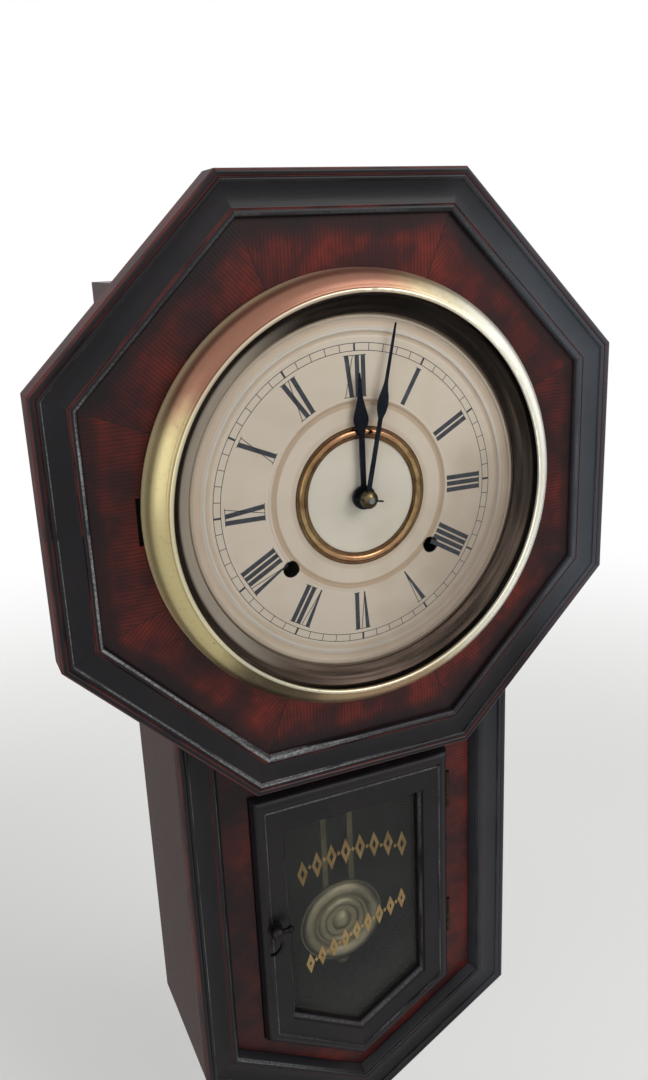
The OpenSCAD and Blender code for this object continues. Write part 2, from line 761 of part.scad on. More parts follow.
second_p = meet(center, mesh_gap(second_n, center_pinion, second_m),
    time_wind, mesh_gap(great_n, great_pinion, great_m));
escape_p = [0, 28];
third_p = meet(escape_p, mesh_gap(third_n, escape_pinion, third_m),
    center, mesh_gap(center_n, third_pinion, center_m));
strike_second_p = [-second_p.x, second_p.y];
pin_p = strike_second_p + mesh_gap(strike_n, pin_pinion, strike_m) * [cos(100), sin(100)];
warn_p = pin_p + mesh_gap(pin_n, warn_pinion, pin_m) * [cos(45), sin(45)];
fly_p = warn_p + mesh_gap(warn_n, fly_pinion, warn_m) * [cos(110), sin(110)];
motion_p = mesh_gap(cannon_n, motion_n, motion_m) * [cos(-120), sin(-120)];
hammer_p = [-46, 8];
verge_p = [0, 48];
train_pivots = [second_p, third_p, escape_p, strike_second_p, pin_p, warn_p, fly_p, hammer_p];
pillar_ps = [[-plate_x + 6, plate_up - 6], [plate_x - 6, plate_up - 6],
    [-12, -plate_down + 7], [12, -plate_down + 7]];
pillar_r = 3;
pillar_end_r = 1.6;
wind_r = 3.2;
wind_front_r = 2.4;
wind_back_r = 1.5;

module plate_shape() {
    difference() {
        polygon([[-plate_x, -wind_y - 18], [-plate_x + 24, -plate_down], [plate_x - 24, -plate_down],
            [plate_x, -wind_y - 18], [plate_x, plate_up], [-plate_x, plate_up]]);
        for (s = [-1, 1]) {
            translate([s * (plate_x - 13), 24]) square([14, 18], center = true);
            translate([s * 14, -32]) circle(r = 7, $fn = 48);
        }
    }
}
module plate(z0) {
    difference() {
        slab(z0, plate_t) plate_shape();
        for (p = train_pivots) rod(p, z0 - 1, z0 + plate_t + 1, pivot_r + run);
        for (p = pillar_ps) rod(p, z0 - 1, z0 + plate_t + 1, pillar_end_r);
        children();
    }
}
module back_plate() {
    color(brass) stand() plate(move_z) {
        for (p = block_screws) rod(p, move_z - 1, back_z + 1, screw_r);
        for (p = [time_wind, strike_wind]) rod(p, move_z - 1, back_z + 1, wind_back_r + run);
        rod(center, move_z - 1, back_z + 1, pivot_r + run);
    }
}
stud_r = 0.8;
module front_plate() {
    color(brass) stand() {
        plate(front_z) {
            for (p = [time_wind, strike_wind]) rod(p, front_z - 1, face_z + 1, wind_front_r + run);
            rod(center, front_z - 1, face_z + 1, minute_arbor_r + run);
        }
        rod(motion_p, face_z, face_z + 6.4, stud_r);
        rod(verge_p, face_z, face_z + 6.5, stud_r);
    }
}
module pillars() {
    color(brass) stand() for (p = pillar_ps) {
        rod(p, move_z, front_z + plate_t + 3, pillar_end_r);
        rod(p, back_z, front_z, pillar_r);
        translate([p.x, p.y, back_z + plate_gap / 2 - 1]) cylinder(h = 2, r = pillar_r + 0.8, $fn = 32);
    }
}
module plate_nuts() {
    color(steel) stand() for (p = pillar_ps) difference() {
        translate([p.x, p.y, face_z]) cylinder(h = 2.4, r = 3.4, $fn = 6);
        rod(p, face_z - 1, face_z + 4, pillar_end_r);
    }
}
module movement_blocks() {
    color(pine) stand() for (s = [-1, 1]) difference() {
        translate([s * block_x - block_w / 2, block_ys[0], back_t])
            cube([block_w, block_ys[1] - block_ys[0], move_z - back_t]);
        for (p = block_screws) if (p.x * s > 0) rod(p, back_t - 1, move_z + 1, screw_r);
        rod([s * wind_x, -wind_y], move_z - 3, move_z + 1, wind_back_r + 1);
        rod(hammer_p, move_z - 3, move_z + 1, pivot_r + 1);
    }
}

// Toothed wheels, with a tooth pointing along +x

module teeth(n, m, root_share = 0.56, tip_share = 0.2) {
    pitch = 360 / n;
    polygon([for (i = [0:n - 1], k = [0:3])
        let(r = (k == 1 || k == 2) ? n * m / 2 + 0.95 * m : n * m / 2 - 1.15 * m,
            s = ((k == 1 || k == 2) ? tip_share : root_share) / 2 * (k < 2 ? -1 : 1),
            a = (i + s) * pitch)
        r * [cos(a), sin(a)]]);
}
module pinion_teeth(n, m) {
    pitch = 360 / n;
    polygon([for (i = [0:n - 1], k = [0:3])
        let(tip = k == 1 || k == 2, r = tip ? n * m / 2 + 0.7 * m : n * m / 2 - 1.25 * m,
            s = (tip ? 0.16 : 0.34) / 2 * (k < 2 ? -1 : 1), a = (i + s) * pitch)
        r * [cos(a), sin(a)]]);
}
module crossings(rim_r, hub_r, arms, arm_w) {
    difference() {
        circle(r = rim_r, $fn = 72);
        circle(r = hub_r, $fn = 48);
        for (i = [0:arms - 1]) rotate(i * 360 / arms + 90 / arms)
            translate([0, -arm_w / 2]) square([rim_r + 1, arm_w]);
    }
}
module wheel(p, z, t, n, m, phase, hub_r, arms = 4) {
    rim_r = n * m / 2 - 1.15 * m - 1.3;
    translate([p.x, p.y, 0]) rotate([0, 0, phase]) slab(z, t) difference() {
        teeth(n, m);
        if (rim_r > hub_r + 2) crossings(rim_r, hub_r, arms, 1.6);
    }
}
module pinion(p, z0, z1, n, m, phase) {
    translate([p.x, p.y, 0]) rotate([0, 0, phase + 180 / n]) slab(z0, z1 - z0) pinion_teeth(n, m);
}
// An arbor between the plates, with its pivots through them
module arbor(p) {
    rod(p, back_z + 0.3, front_z - 0.3, arbor_r);
    rod(p, move_z, face_z + 0.2, pivot_r);
}
great_z = back_z + 6;
great_t = 2;
second_z = back_z + 2;
center_z = back_z + 11;
third_z = back_z + 20;
thin = 1.2;

ratchet_r = 7;
ratchet_n = 18;
module ratchet_teeth() {
    polygon([for (i = [0:ratchet_n - 1], k = [0, 1])
        let(a = (i + k * 0.12) * 360 / ratchet_n, r = k == 0 ? ratchet_r : ratchet_r - 1.1)
        r * [cos(a), sin(a)]]);
}
// The winding arbor: back pivot, ratchet, spring barrel, front pivot and square for the key
module winding_arbor(p) {
    square_z = dial_z - 16;
    square_w = 3.3;
    square_len = 7.5;
    rod(p, move_z, great_z + great_t + 1, wind_back_r);
    translate([p.x, p.y, 0]) slab(great_z - 3, 2.4) ratchet_teeth();
    rod(p, great_z + great_t + 0.4, front_z - 0.3, wind_r);
    rod(p, front_z - 1, square_z, wind_front_r);
    translate([p.x - square_w / 2, p.y - square_w / 2, square_z - 1])
        cube([square_w, square_w, square_len + 1]);
}
module great_wheel(p, mate, count) {
    click = 10.4;
    difference() {
        wheel(p, great_z, great_t, great_n, great_m, heading(p, mate), 13, 5);
        rod(p, great_z - 1, great_z + great_t + 1, wind_back_r + run);
    }
    // The click and its spring ride on the wheel, the click resting just clear of the ratchet
    translate([p.x, p.y, 0]) {
        rod([0, click], great_z - 2.6, great_z, 1.6);
        slab(great_z - 2.6, 2)
            polygon([[-1.2, click + 1.3], [-6.4, click - 3.8], [-5.5, click - 5.1], [1.2, click - 1.3]]);
    }
}
module time_great_wheel() { color(brass) stand() great_wheel(time_wind, second_p); }
module strike_great_wheel() { color(brass) stand() great_wheel(strike_wind, strike_second_p); }
module time_winding_arbor() { color(steel) stand() winding_arbor(time_wind); }
module strike_winding_arbor() { color(steel) stand() winding_arbor(strike_wind); }

// A strip wound from the arbor out, its outer end led to the pillar
function coil_pts(r0, r1, turns, side) =
    [for (i = [0:turns * 20])
        let(a = i * 18, r = r0 + (r1 - r0) * i / (turns * 20)) r * [cos(a), side * sin(a)]];
module mainspring(p, side, pillar) {
    strip = 0.5;
    z0 = great_z + great_t + 1.2;
    inner = coil_pts(wind_r + 0.9, spring_r - strip, spring_turns, side);
    outer = coil_pts(wind_r + 0.9 + strip, spring_r, spring_turns, side);
    last = len(inner) - 1;
    translate([p.x, p.y, 0]) rotate([0, 0, heading(p, pillar)]) {
        slab(z0, spring_w) polygon(concat(inner, [for (i = [last:-1:0]) outer[i]]));
        translate([spring_r - strip, -strip / 2, z0])
            cube([norm(pillar - p) - pillar_r - spring_r + strip, strip, spring_w]);
    }
}
module mainsprings() {
    color(steel) stand() {
        mainspring(time_wind, 1, pillar_ps[3]);
        mainspring(strike_wind, -1, pillar_ps[2]);
    }
}

// Time train

module second_wheel() {
    color(brass) stand() {
        arbor(second_p);
        wheel(second_p, second_z, thin, second_n, second_m, heading(second_p, center), 4);
        pinion(second_p, great_z - 1, great_z + great_t + 1, great_pinion, great_m,
            heading(second_p, time_wind));
    }
}
module center_wheel() {
    tube_r = 2.3;
    color(brass) stand() difference() {
        union() {
            rod(center, back_z + 0.4, center_z + 3, tube_r);
            wheel(center, center_z, thin, center_n, center_m, heading(center, third_p), 4.5);
            pinion(center, second_z - 0.8, second_z + thin + 0.8, center_pinion, second_m,
                heading(center, second_p));
        }
        rod(center, back_z, center_z + 4, minute_arbor_r + run);
    }
}
module third_wheel() {
    color(brass) stand() {
        arbor(third_p);
        wheel(third_p, third_z, thin, third_n, third_m, heading(third_p, escape_p), 3.5);
        pinion(third_p, center_z - 1.5, center_z + thin + 1.5, third_pinion, center_m,
            heading(third_p, center));
    }
}
escape_z = face_z + 1.2;
module escape_teeth() {
    polygon([for (i = [0:escape_n - 1], k = [0:2])
        let(a = (i + [0, 0.1, 0.62][k]) * 360 / escape_n, r = [escape_r, escape_r - 0.2, escape_r - 2][k])
        r * [cos(a), sin(a)]]);
}
module escape_wheel() {
    color(brass) stand() {
        rod(escape_p, back_z + 0.3, front_z - 0.3, arbor_r);
        rod(escape_p, move_z, escape_z + 2, pivot_r);
        pinion(escape_p, third_z - 1.5, third_z + thin + 1.5, escape_pinion, third_m,
            heading(escape_p, third_p));
        translate([escape_p.x, escape_p.y, 0]) {
            rod([0, 0], escape_z - 0.9, escape_z + 2, 2);
            slab(escape_z, 1) difference() {
                escape_teeth();
                crossings(escape_r - 3.4, 3, 4, 1.5);
            }
        }
    }
}

// Escapement and pendulum

pallet_r = escape_r + 1.9;
crutch_y = 21;
module verge() {
    hub_r = 1.9;
    pallet_w = 1.3;
    z0 = escape_z - 0.6;
    right = escape_p + pallet_r * [sin(52), cos(52)] - verge_p;
    color(steel) stand() translate([verge_p.x, verge_p.y, 0]) difference() {
        union() {
            rod([0, 0], face_z + 0.4, face_z + 6.2, hub_r);
            slab(z0, 2.6) for (s = [-1, 1])
                polygon([[0, 1.6], [s * right.x, right.y + 5],
                    [s * (right.x + pallet_w + 0.3), right.y + 4],
                    [s * (right.x + pallet_w), right.y], [s * right.x, right.y],
                    [s * (right.x - 0.6), right.y + 3], [0, -1]]);
            // Crutch wire and the fork that drives the pendulum
            translate([0, -1, face_z + 5.5]) rotate([90, 0, 0])
                cylinder(h = verge_p.y - crutch_y - 1, r = 0.6, $fn = 24);
            difference() {
                translate([-2.8, crutch_y - verge_p.y - 1, face_z + 4.9])
                    cube([5.6, 2, pendulum_z + 1 - face_z - 4.9]);
                translate([-1.3, crutch_y - verge_p.y - 2, face_z + 6.3]) cube([2.6, 4, 6]);
            }
        }
        rod([0, 0], face_z, face_z + 8, stud_r + run);
    }
}
hang_post = 5.2;
strip_t = 0.3;
module suspension_post() {
    z1 = pendulum_z + 3;
    color(brass) stand() difference() {
        translate([-3, hang_y + 0.4, face_z]) cube([6, hang_post, z1 - face_z]);
        translate([-0.6, hang_y, pendulum_z - 1.8]) cube([1.2, hang_post + 1, 6]);
    }
}
module suspension_spring() {
    top = hang_y + 0.4 + hang_post;
    color(steel) stand() {
        translate([-strip_t / 2, hang_y - 8, pendulum_z - 1.2])
            cube([strip_t, top + 1 - hang_y + 8, 2.4]);
        translate([-1.8, top + 0.3, pendulum_z - 1.2]) cube([3.6, 1.4, 2.4]);
    }
}
yoke_y = 13;
bob_y = -bob_drop;
guide_r = 1.3;
lug_h = 16;
module pendulum_rod() {
    low = bob_y + bob_r - 10;
    t = 1.6;
    color(brass) stand() difference() {
        union() {
            translate([-2.4, hang_y - 9, pendulum_z - 1.2]) cube([4.8, 4, 2.4]);
            translate([0, yoke_y, pendulum_z]) rotate([-90, 0, 0])
                cylinder(h = hang_y - 8 - yoke_y, r = 1, $fn = 32);
            for (y = [yoke_y - 2, low]) translate([-rod_gap / 2 - rod_w / 2, y, pendulum_z - t / 2])
                cube([rod_gap + rod_w, 4, t]);
            for (s = [-1, 1]) translate([s * rod_gap / 2 - rod_w / 2, low, pendulum_z - t / 2])
                cube([rod_w, yoke_y - low, t]);
            translate([0, bob_y - bob_r - 5.5, pendulum_z]) rotate([-90, 0, 0])
                cylinder(h = low + 2 - bob_y + bob_r + 5.5, r = guide_r, $fn = 32);
        }
        translate([-strip_t / 2, hang_y - 8, pendulum_z - 1.2]) cube([strip_t, 4, 2.4]);
    }
}
bob_back = pendulum_z + guide_r + 0.1;
module pendulum_bob() {
    color(brass) stand() translate([0, bob_y, 0]) {
        turned(bob_back) difference() {
            union() {
                square([bob_r, 1.6]);
                translate([bob_r - 5.2, -0.6]) circle(r = 5.2, $fn = 64);
                translate([bob_r / 2 - 0.4, 0.4]) circle(r = 3.2, $fn = 48);
                translate([0, -3]) circle(r = 8, $fn = 64);
            }
            translate([-20, -20]) square([20, 40]);
            translate([-1, -20]) square([bob_r + 10, 20]);
        }
        difference() {
            translate([-4, -bob_r, pendulum_z - 2.4]) cube([8, lug_h, bob_back - pendulum_z + 2.4]);
            translate([0, -bob_r - 1, pendulum_z]) rotate([-90, 0, 0])
                cylinder(h = lug_h + 2, r = guide_r, $fn = 32);
        }
    }
}
nut_top = bob_y - bob_r - 0.3;
module rating_nut() {
    color(brass) stand() translate([0, nut_top, pendulum_z]) rotate([90, 0, 0]) difference() {
        union() {
            cylinder(h = 2.6, r = 4.4, $fn = 32);
            cylinder(h = 4, r = 2.6, $fn = 32);
        }
        translate([0, 0, -1]) cylinder(h = 6, r = guide_r + run, $fn = 32);
    }
}

// Motion work

motion_z = face_z + 1.2;
hour_z = motion_z + 2.6;
module minute_arbor() {
    color(steel) stand() difference() {
        union() {
            rod(center, move_z, back_z + 0.3, pivot_r);
            rod(center, back_z + 0.3, nut_z + 3.9, minute_arbor_r);
            pinion(center, face_z + 0.4, motion_z + 2, cannon_n, motion_m, heading(center, motion_p));
        }
        rotate([0, 0, -12]) across_nut(taper_r, 20);
    }
}
module minute_wheel() {
    color(brass) stand() difference() {
        union() {
            wheel(motion_p, motion_z, thin, motion_n, motion_m, heading(motion_p, center), 3);
            pinion(motion_p, motion_z, hour_z + 1.8, motion_pinion, hour_m, heading(motion_p, center));
        }
        rod(motion_p, face_z, face_z + 9, stud_r + run);
    }
}
module hour_wheel() {
    color(brass) stand() difference() {
        union() {
            wheel(center, hour_z, thin, hour_n, hour_m, heading(center, motion_p), 4);
            rod(center, hour_z - 0.4, dial_z + hour_lift + 0.5, hour_pipe_r);
        }
        rod(center, hour_z - 1, dial_z + hour_lift + 5, minute_arbor_r + run);
    }
}

// Strike train

count_z = front_z - 3;
pin_wheel_z = back_z + 16;
warn_z = back_z + 24;
blows = 90;
// Blows struck by the time that hour n has been counted, with one blow at each half hour
function counted(n) = n * (n + 1) / 2 + n;
module count_wheel() {
    r = 14.5;
    difference() {
        slab(count_z, thin) difference() {
            circle(r = r, $fn = 90);
            for (h = [1:12]) rotate(counted(h) * 360 / blows) translate([r - 2.2, -0.5]) square([4, 1]);
            crossings(r - 4, 4, 3, 2);
        }
    }
}
module strike_second_wheel() {
    color(brass) stand() {
        arbor(strike_second_p);
        wheel(strike_second_p, second_z, thin, strike_n, strike_m, heading(strike_second_p, pin_p), 4);
        pinion(strike_second_p, great_z - 1, great_z + great_t + 1, great_pinion, great_m,
            heading(strike_second_p, strike_wind));
        translate([strike_second_p.x, strike_second_p.y, 0]) count_wheel();
    }
}
lift_pins = 15;
lift_r = 11.4;
module pin_wheel() {
    color(brass) stand() {
        arbor(pin_p);
        wheel(pin_p, pin_wheel_z, thin, pin_n, pin_m, heading(pin_p, warn_p), 3.5);
        pinion(pin_p, second_z - 1, second_z + thin + 1, pin_pinion, strike_m,
            heading(pin_p, strike_second_p));
        for (i = [0:lift_pins - 1]) let(a = heading(pin_p, hammer_p) + (i + 0.5) * 360 / lift_pins)
            rod(pin_p + lift_r * [cos(a), sin(a)], pin_wheel_z, pin_wheel_z + thin + 3, 0.4);
    }
}
module warning_wheel() {
    color(brass) stand() {
        arbor(warn_p);
        wheel(warn_p, warn_z, thin, warn_n, warn_m, heading(warn_p, fly_p), 3);
        pinion(warn_p, pin_wheel_z - 1.5, pin_wheel_z + thin + 1.5, warn_pinion, pin_m,
            heading(warn_p, pin_p));
        rod(warn_p + [0, 8.7], warn_z, warn_z + thin + 2, 0.4);
    }
}
module fly() {
    vane = 8.6;
    color(brass) stand() {
        arbor(fly_p);
        pinion(fly_p, warn_z - 1.5, warn_z + thin + 1.5, fly_pinion, warn_m, heading(fly_p, warn_p));
        translate([fly_p.x - vane, fly_p.y - 0.4, back_z + 2]) cube([2 * vane, 0.8, 12]);
        rod(fly_p, back_z + 4, back_z + 12, 1.8);
    }
}
gong_p = [-30, -112];
gong_z = 32;
// The hammer hangs from its arbor, outside the strike train, with its head by the gong
module hammer() {
    wire = 0.9;
    wire_z = back_z + 4;
    head = gong_p + (gong_r + 1.6) * [cos(140), sin(140)];
    tail_z = pin_wheel_z + thin + 0.7;
    reach = norm(pin_p - hammer_p) - lift_r - 0.8;
    knee = [hammer_p.x - 12, -plate_down + 2];
    color(steel) stand() {
        arbor(hammer_p);
        translate([hammer_p.x, hammer_p.y, tail_z]) rotate([0, 0, heading(hammer_p, pin_p)])
            translate([0, -0.5, 0]) cube([reach, 1, 1.6]);
        rod(hammer_p, wire_z - 1.8, wire_z + 1.8, 2.2);
        rod(hammer_p, tail_z - 0.6, tail_z + 2.2, 1.8);
        wire_to([hammer_p.x, hammer_p.y, wire_z], [knee.x, knee.y, wire_z], wire);
        wire_to([knee.x, knee.y, wire_z], [head.x - 4, head.y + 3, gong_z], wire);
        translate([knee.x, knee.y, wire_z]) sphere(r = wire + 0.4, $fn = 24);
        translate([head.x, head.y, gong_z]) rotate([0, 0, 140]) rotate([0, 90, 0])
            cylinder(h = 10, r = 4.2, $fn = 48);
    }
}
module wire_to(a, b, r) {
    v = b - a;
    translate(a) rotate([0, acos(v.z / norm(v)), atan2(v.y, v.x)]) cylinder(h = norm(v), r = r, $fn = 24);
}
// The gong is one round wire, wound flat, whose inner end runs into its stand
post_r = 5;
gong_in_r = gong_r - gong_wire - gong_turns * 7;
gong_steps = gong_turns * 24;
gong_end = 125;
function gong_at(i) =
    let(a = gong_end - i * 15,
        r = i < 0 ? post_r : gong_in_r + (gong_r - gong_wire - gong_in_r) * i / gong_steps)
    [gong_p.x + r * cos(a), gong_p.y + r * sin(a), gong_z];
gong_route = [for (i = [-1:gong_steps]) gong_at(i)];
gong_gap = min([for (i = [0:len(gong_route) - 13], k = [i + 12:len(gong_route) - 1])
    norm(gong_route[i] - gong_route[k])]) - 2 * gong_wire;
module gong() {
    n = len(gong_route);
    rings = [for (i = [0:n - 1])
        let(a = gong_route[max(i - 1, 0)], b = gong_route[min(i + 1, n - 1)], u = (b - a) / norm(b - a),
            side = [u.y, -u.x, 0])
        for (k = [0:5]) gong_route[i] + gong_wire * (cos(60 * k) * side + sin(60 * k) * [0, 0, 1])];
    walls = [for (i = [0:n - 2], k = [0:5], h = [0, 1])
        let(p = 6 * i + k, q = 6 * i + (k + 1) % 6) h == 0 ? [p, q, q + 6] : [p, q + 6, p + 6]];
    ends = [for (k = [1:4], h = [0, 1])
        h == 0 ? [0, k + 1, k] : [6 * n - 6, 6 * n - 6 + k, 6 * n - 5 + k]];
    echo(str("least gap of the gong's wire to itself: ", gong_gap, " mm"));
    color(steel) stand() polyhedron(points = rings, faces = concat(walls, ends));
}
module gong_stand() {
    color(blued) stand() difference() {
        union() {
            translate([gong_p.x - 16, gong_p.y - 7, back_t]) cube([32, 14, 4]);
            rod(gong_p, back_t, gong_z + 4, post_r);
        }
        rod(gong_p, back_t - 1, back_t + 3, screw_r);
    }
}

backboard();
side_boards();
top_board();
bottom_boards();
octagon_board();
octagon_veneer();
octagon_molding();
drop_front();
drop_molding();
hanger_plate();
wood_screws();
bezel();
bezel_glass();
sight_ring();
bezel_hinge_leaf();
hinge_bases();
hinge_pins();
bezel_catch();
door_frame();
door_glass();
glazing_bead();
door_hinge_leaves();
door_handle();
latch_keeper();
dial_pan();
dial_ring();
hour_hand();
minute_hand();
hand_nut();
taper_pin();
front_plate();
back_plate();
pillars();
plate_nuts();
movement_blocks();
minute_arbor();
minute_wheel();
hour_wheel();
time_great_wheel();
time_winding_arbor();
mainsprings();
second_wheel();
center_wheel();
third_wheel();
escape_wheel();
verge();
suspension_post();
suspension_spring();
pendulum_rod();
pendulum_bob();
rating_nut();
strike_great_wheel();
strike_winding_arbor();
strike_second_wheel();
pin_wheel();
warning_wheel();
fly();
hammer();
gong();
gong_stand();
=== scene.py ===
import math

import bpy
from mathutils import Matrix, Vector


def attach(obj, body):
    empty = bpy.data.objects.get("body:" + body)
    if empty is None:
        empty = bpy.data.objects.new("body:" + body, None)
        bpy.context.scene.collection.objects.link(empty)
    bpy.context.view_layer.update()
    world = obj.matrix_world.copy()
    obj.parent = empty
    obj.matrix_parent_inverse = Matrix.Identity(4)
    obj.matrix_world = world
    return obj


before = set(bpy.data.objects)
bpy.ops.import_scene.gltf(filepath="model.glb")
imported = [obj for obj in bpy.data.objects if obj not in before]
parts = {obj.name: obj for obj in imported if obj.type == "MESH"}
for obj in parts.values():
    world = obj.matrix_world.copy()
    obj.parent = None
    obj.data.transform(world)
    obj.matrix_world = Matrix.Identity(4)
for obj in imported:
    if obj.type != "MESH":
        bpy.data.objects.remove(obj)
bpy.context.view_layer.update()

# Sizes are in millimetres: x to the right, y up from the middle of the dial, z out from the wall
mm = 0.001
fullTurn = 2 * math.pi


def at(x, y, z):
    return Vector((x * mm, -z * mm, y * mm))


def paint(red, green, blue):
    linear = [c / 255 / 12.92 if c < 11 else ((c / 255 + 0.055) / 1.055) ** 2.4 for c in (red, green, blue)]
    return (*linear, 1.0)


# A number that runs through a material: sums on it add Math nodes
class Wire:
    def __init__(self, finish, socket):
        self.finish = finish
        self.socket = socket

    def other(self, name):
        return Wire(self.finish, self.socket.node.outputs[name])

    def __add__(self, b):
        return self.finish.math("ADD", self, b)

    def __sub__(self, b):
        return self.finish.math("SUBTRACT", self, b)

    def __mul__(self, b):
        return self.finish.math("MULTIPLY", self, b)

    def __truediv__(self, b):
        return self.finish.math("DIVIDE", self, b)

    def __rsub__(self, b):
        return self.finish.math("SUBTRACT", b, self)

    def __rtruediv__(self, b):
        return self.finish.math("DIVIDE", b, self)

    __radd__ = __add__
    __rmul__ = __mul__

    def __abs__(self):
        return self.finish.math("ABSOLUTE", self)


# A material, or the world, while its nodes are put together
class Finish:
    def __init__(self, name=None):
        self.owner = bpy.data.materials.new(name) if name else bpy.context.scene.world
        self.owner.use_nodes = True
        self.tree = self.owner.node_tree
        self.tree.nodes.clear()

    def add(self, kind, settings=None, sockets=None, out=0):
        node = self.tree.nodes.new("ShaderNode" + kind)
        for name, value in (settings or {}).items():
            if name == "stops":
                steps = node.color_ramp.elements
                steps.remove(steps[1])
                steps[0].position, steps[0].color = value[0]
                for place, color in value[1:]:
                    steps.new(place).color = color
            else:
                setattr(node, name, value)
        for name, value in (sockets or {}).items():
            if isinstance(value, Wire):
                self.tree.links.new(value.socket, node.inputs[name])
            else:
                node.inputs[name].default_value = value
        return Wire(self, node.outputs[out]) if len(node.outputs) else None

    def math(self, operation, *values):
        return self.add("Math", {"operation": operation}, dict(enumerate(values)))

    def top(self, first, *others):
        for other in others:
            first = self.math("MAXIMUM", first, other)
        return first

    # How far a point lies from the middle of x and y
    def reach(self, x, y):
        return self.math("SQRT", x * x + y * y)

    def ease(self, value, low, high):
        return self.add("MapRange", {"interpolation_type": "SMOOTHSTEP"}, {0: value, 1: low, 2: high})

    # 1 within half of a level, falling to 0 over soft beyond it
    def near(self, value, level, half, soft):
        return 1 - self.ease(abs(value - level), half, half + soft)

    def mix(self, factor, a, b):
        return self.add("Mix", {"data_type": "RGBA"}, {0: factor, 6: a, 7: b}, 2)

    def ramp(self, factor, stops):
        return self.add("ValToRGB", {"stops": stops}, {0: factor})

    # The place on the surface, as three wires in millimetres: x, y and z
    def place(self):
        spot = self.add("TexCoord", out="Object")
        split = self.add("SeparateXYZ", None, {0: spot}, "X")
        return split * 1000, split.other("Z") * 1000, split.other("Y") * -1000

    def noise(self, x, y, z, detail=2, rough=0.5):
        spot = self.add("CombineXYZ", None, {0: x, 1: y, 2: z})
        return self.add("TexNoise", None, {"Vector": spot, "Scale": 1, "Detail": detail, "Roughness": rough})

    # Noise of one scale all round
    def cloud(self, x, y, z, scale, detail=2, rough=0.5):
        return self.noise(x * scale, y * scale, z * scale, detail, rough)

    # Noise of one scale over a front, the same all the way through it
    def patches(self, x, y, scale, seed, detail=2, rough=0.5):
        return self.noise(x * scale, y * scale, seed, detail, rough)

    def shader(self, color, rough, metal=0.0, height=None, relief=0.1, fixed=None):
        sockets = {"Base Color": color, "Roughness": rough, "Metallic": metal, **(fixed or {})}
        if height is not None:
            sockets["Normal"] = self.add("Bump", None, {"Distance": relief * mm, "Height": height})
        return self.add("BsdfPrincipled", None, sockets)

    def close(self, shader):
        self.add("OutputMaterial", None, {"Surface": shader})
        return self.owner


head = {"sides": 8, "half": 148}


# A side of the octagonal head: its number, and how far out and how far across a point lies in it
def headSector(f, x, y):
    turn = f.math("ARCTAN2", y, x)
    number = f.math("ROUND", turn * (head["sides"] / fullTurn))
    lean = turn - number * (fullTurn / head["sides"])
    reach = f.reach(x, y)
    return number, reach * f.math("COSINE", lean), reach * f.math("SINE", lean)


# Distance from the mitred joint with the next side
def headJoint(out, across):
    mitre = fullTurn / head["sides"] / 2
    return out * math.sin(mitre) - abs(across) * math.cos(mitre)


veneerLook = {
    "tones": ((0.3, paint(34, 10, 11)), (0.46, paint(64, 17, 15)), (0.68, paint(122, 36, 20))),
    "line": paint(18, 6, 9),
    "lineGap": 1.8,
    "lineDepth": 0.5,
    "lineDrift": 3.5,  # how far the lines stray from straight
    # the tone it darkens to, for darker stain and painted shade alike
    "edge": paint(13, 7, 10),
    "rough": 0.32,
    "relief": 0.05,
    "fixed": {"Specular IOR Level": 0.2, "Coat Weight": 0.05, "Coat Roughness": 0.14},
}


# Stained veneer with close dark lines: along is measured with the lines, across over them, and shade
# is how far it darkens to the edge tone, which stands for darker stain and for painted shade alike
def veneerShader(f, along, across, seed, shade):
    look = veneerLook
    drift = f.noise(along * 0.012, across * 0.02, seed)
    wave = f.math("SINE", (across + drift * look["lineDrift"]) * (fullTurn / look["lineGap"])) * 0.5 + 0.5
    broken = f.ease(f.noise(along * 0.05, across * 0.5, seed + 3, 3), 0.2, 0.6) * 0.6 + 0.4
    lines = f.ease(wave, 0.2, 1) * broken
    fibre = f.noise(along * 0.1, across * 2.8, seed + 9, 3, 0.65)
    cloud = f.patches(along, across, 0.035, seed + 20, 3, 0.6)
    tone = f.ramp(cloud * 0.85 + fibre * 0.3 - 0.07, look["tones"])
    color = f.mix(lines * look["lineDepth"], tone, look["line"])
    color = f.mix(shade, color, look["edge"])
    rough = look["rough"] + lines * 0.1 + fibre * 0.08
    return f.shader(color, rough, 0.0, fibre * 0.4 - lines * 0.5, look["relief"], look["fixed"])


# Where the head's veneer is darker: beside the moulding, at the glue lines, in smudges, and with painted shade
# on the left and right sides
headShade = {
    "margin": (119, 129),  # beside the moulding, from the first distance to the second
    "marginDrift": 8,
    "marginDepth": 0.85,
    "glueLine": (0.12, 0.2),  # half its width and its soft edge
    "smudges": (0.52, 0.72),
    "smudgeDepth": 0.5,
    # painted shade towards the left and the right
    "sides": (25, 80),
    "sideShadeDepth": 0.5,
    "foot": (-30, -90),  # the sides are less dark below
    "footShadeLift": 0.28,
}


def headVeneer():
    shade = headShade
    f = Finish("headVeneer")
    x, y, z = f.place()
    number, out, across = headSector(f, x, y)
    drift = f.patches(x, y, 0.035, number) * shade["marginDrift"]
    margin = f.ease(out + drift, *shade["margin"]) * shade["marginDepth"]
    glueLine = f.near(headJoint(out, across), 0, *shade["glueLine"])
    smudge = f.ease(f.patches(x, y, 0.02, 4, 3), *shade["smudges"]) * shade["smudgeDepth"]
    shadeLift = f.ease(y, *shade["foot"]) * shade["footShadeLift"]
    # painted shade on the left and right sides, less below
    sides = f.ease(abs(x), *shade["sides"]) * (shade["sideShadeDepth"] - shadeLift)
    return f.close(veneerShader(f, out, across, number * 17, f.top(margin, glueLine, smudge, sides)))


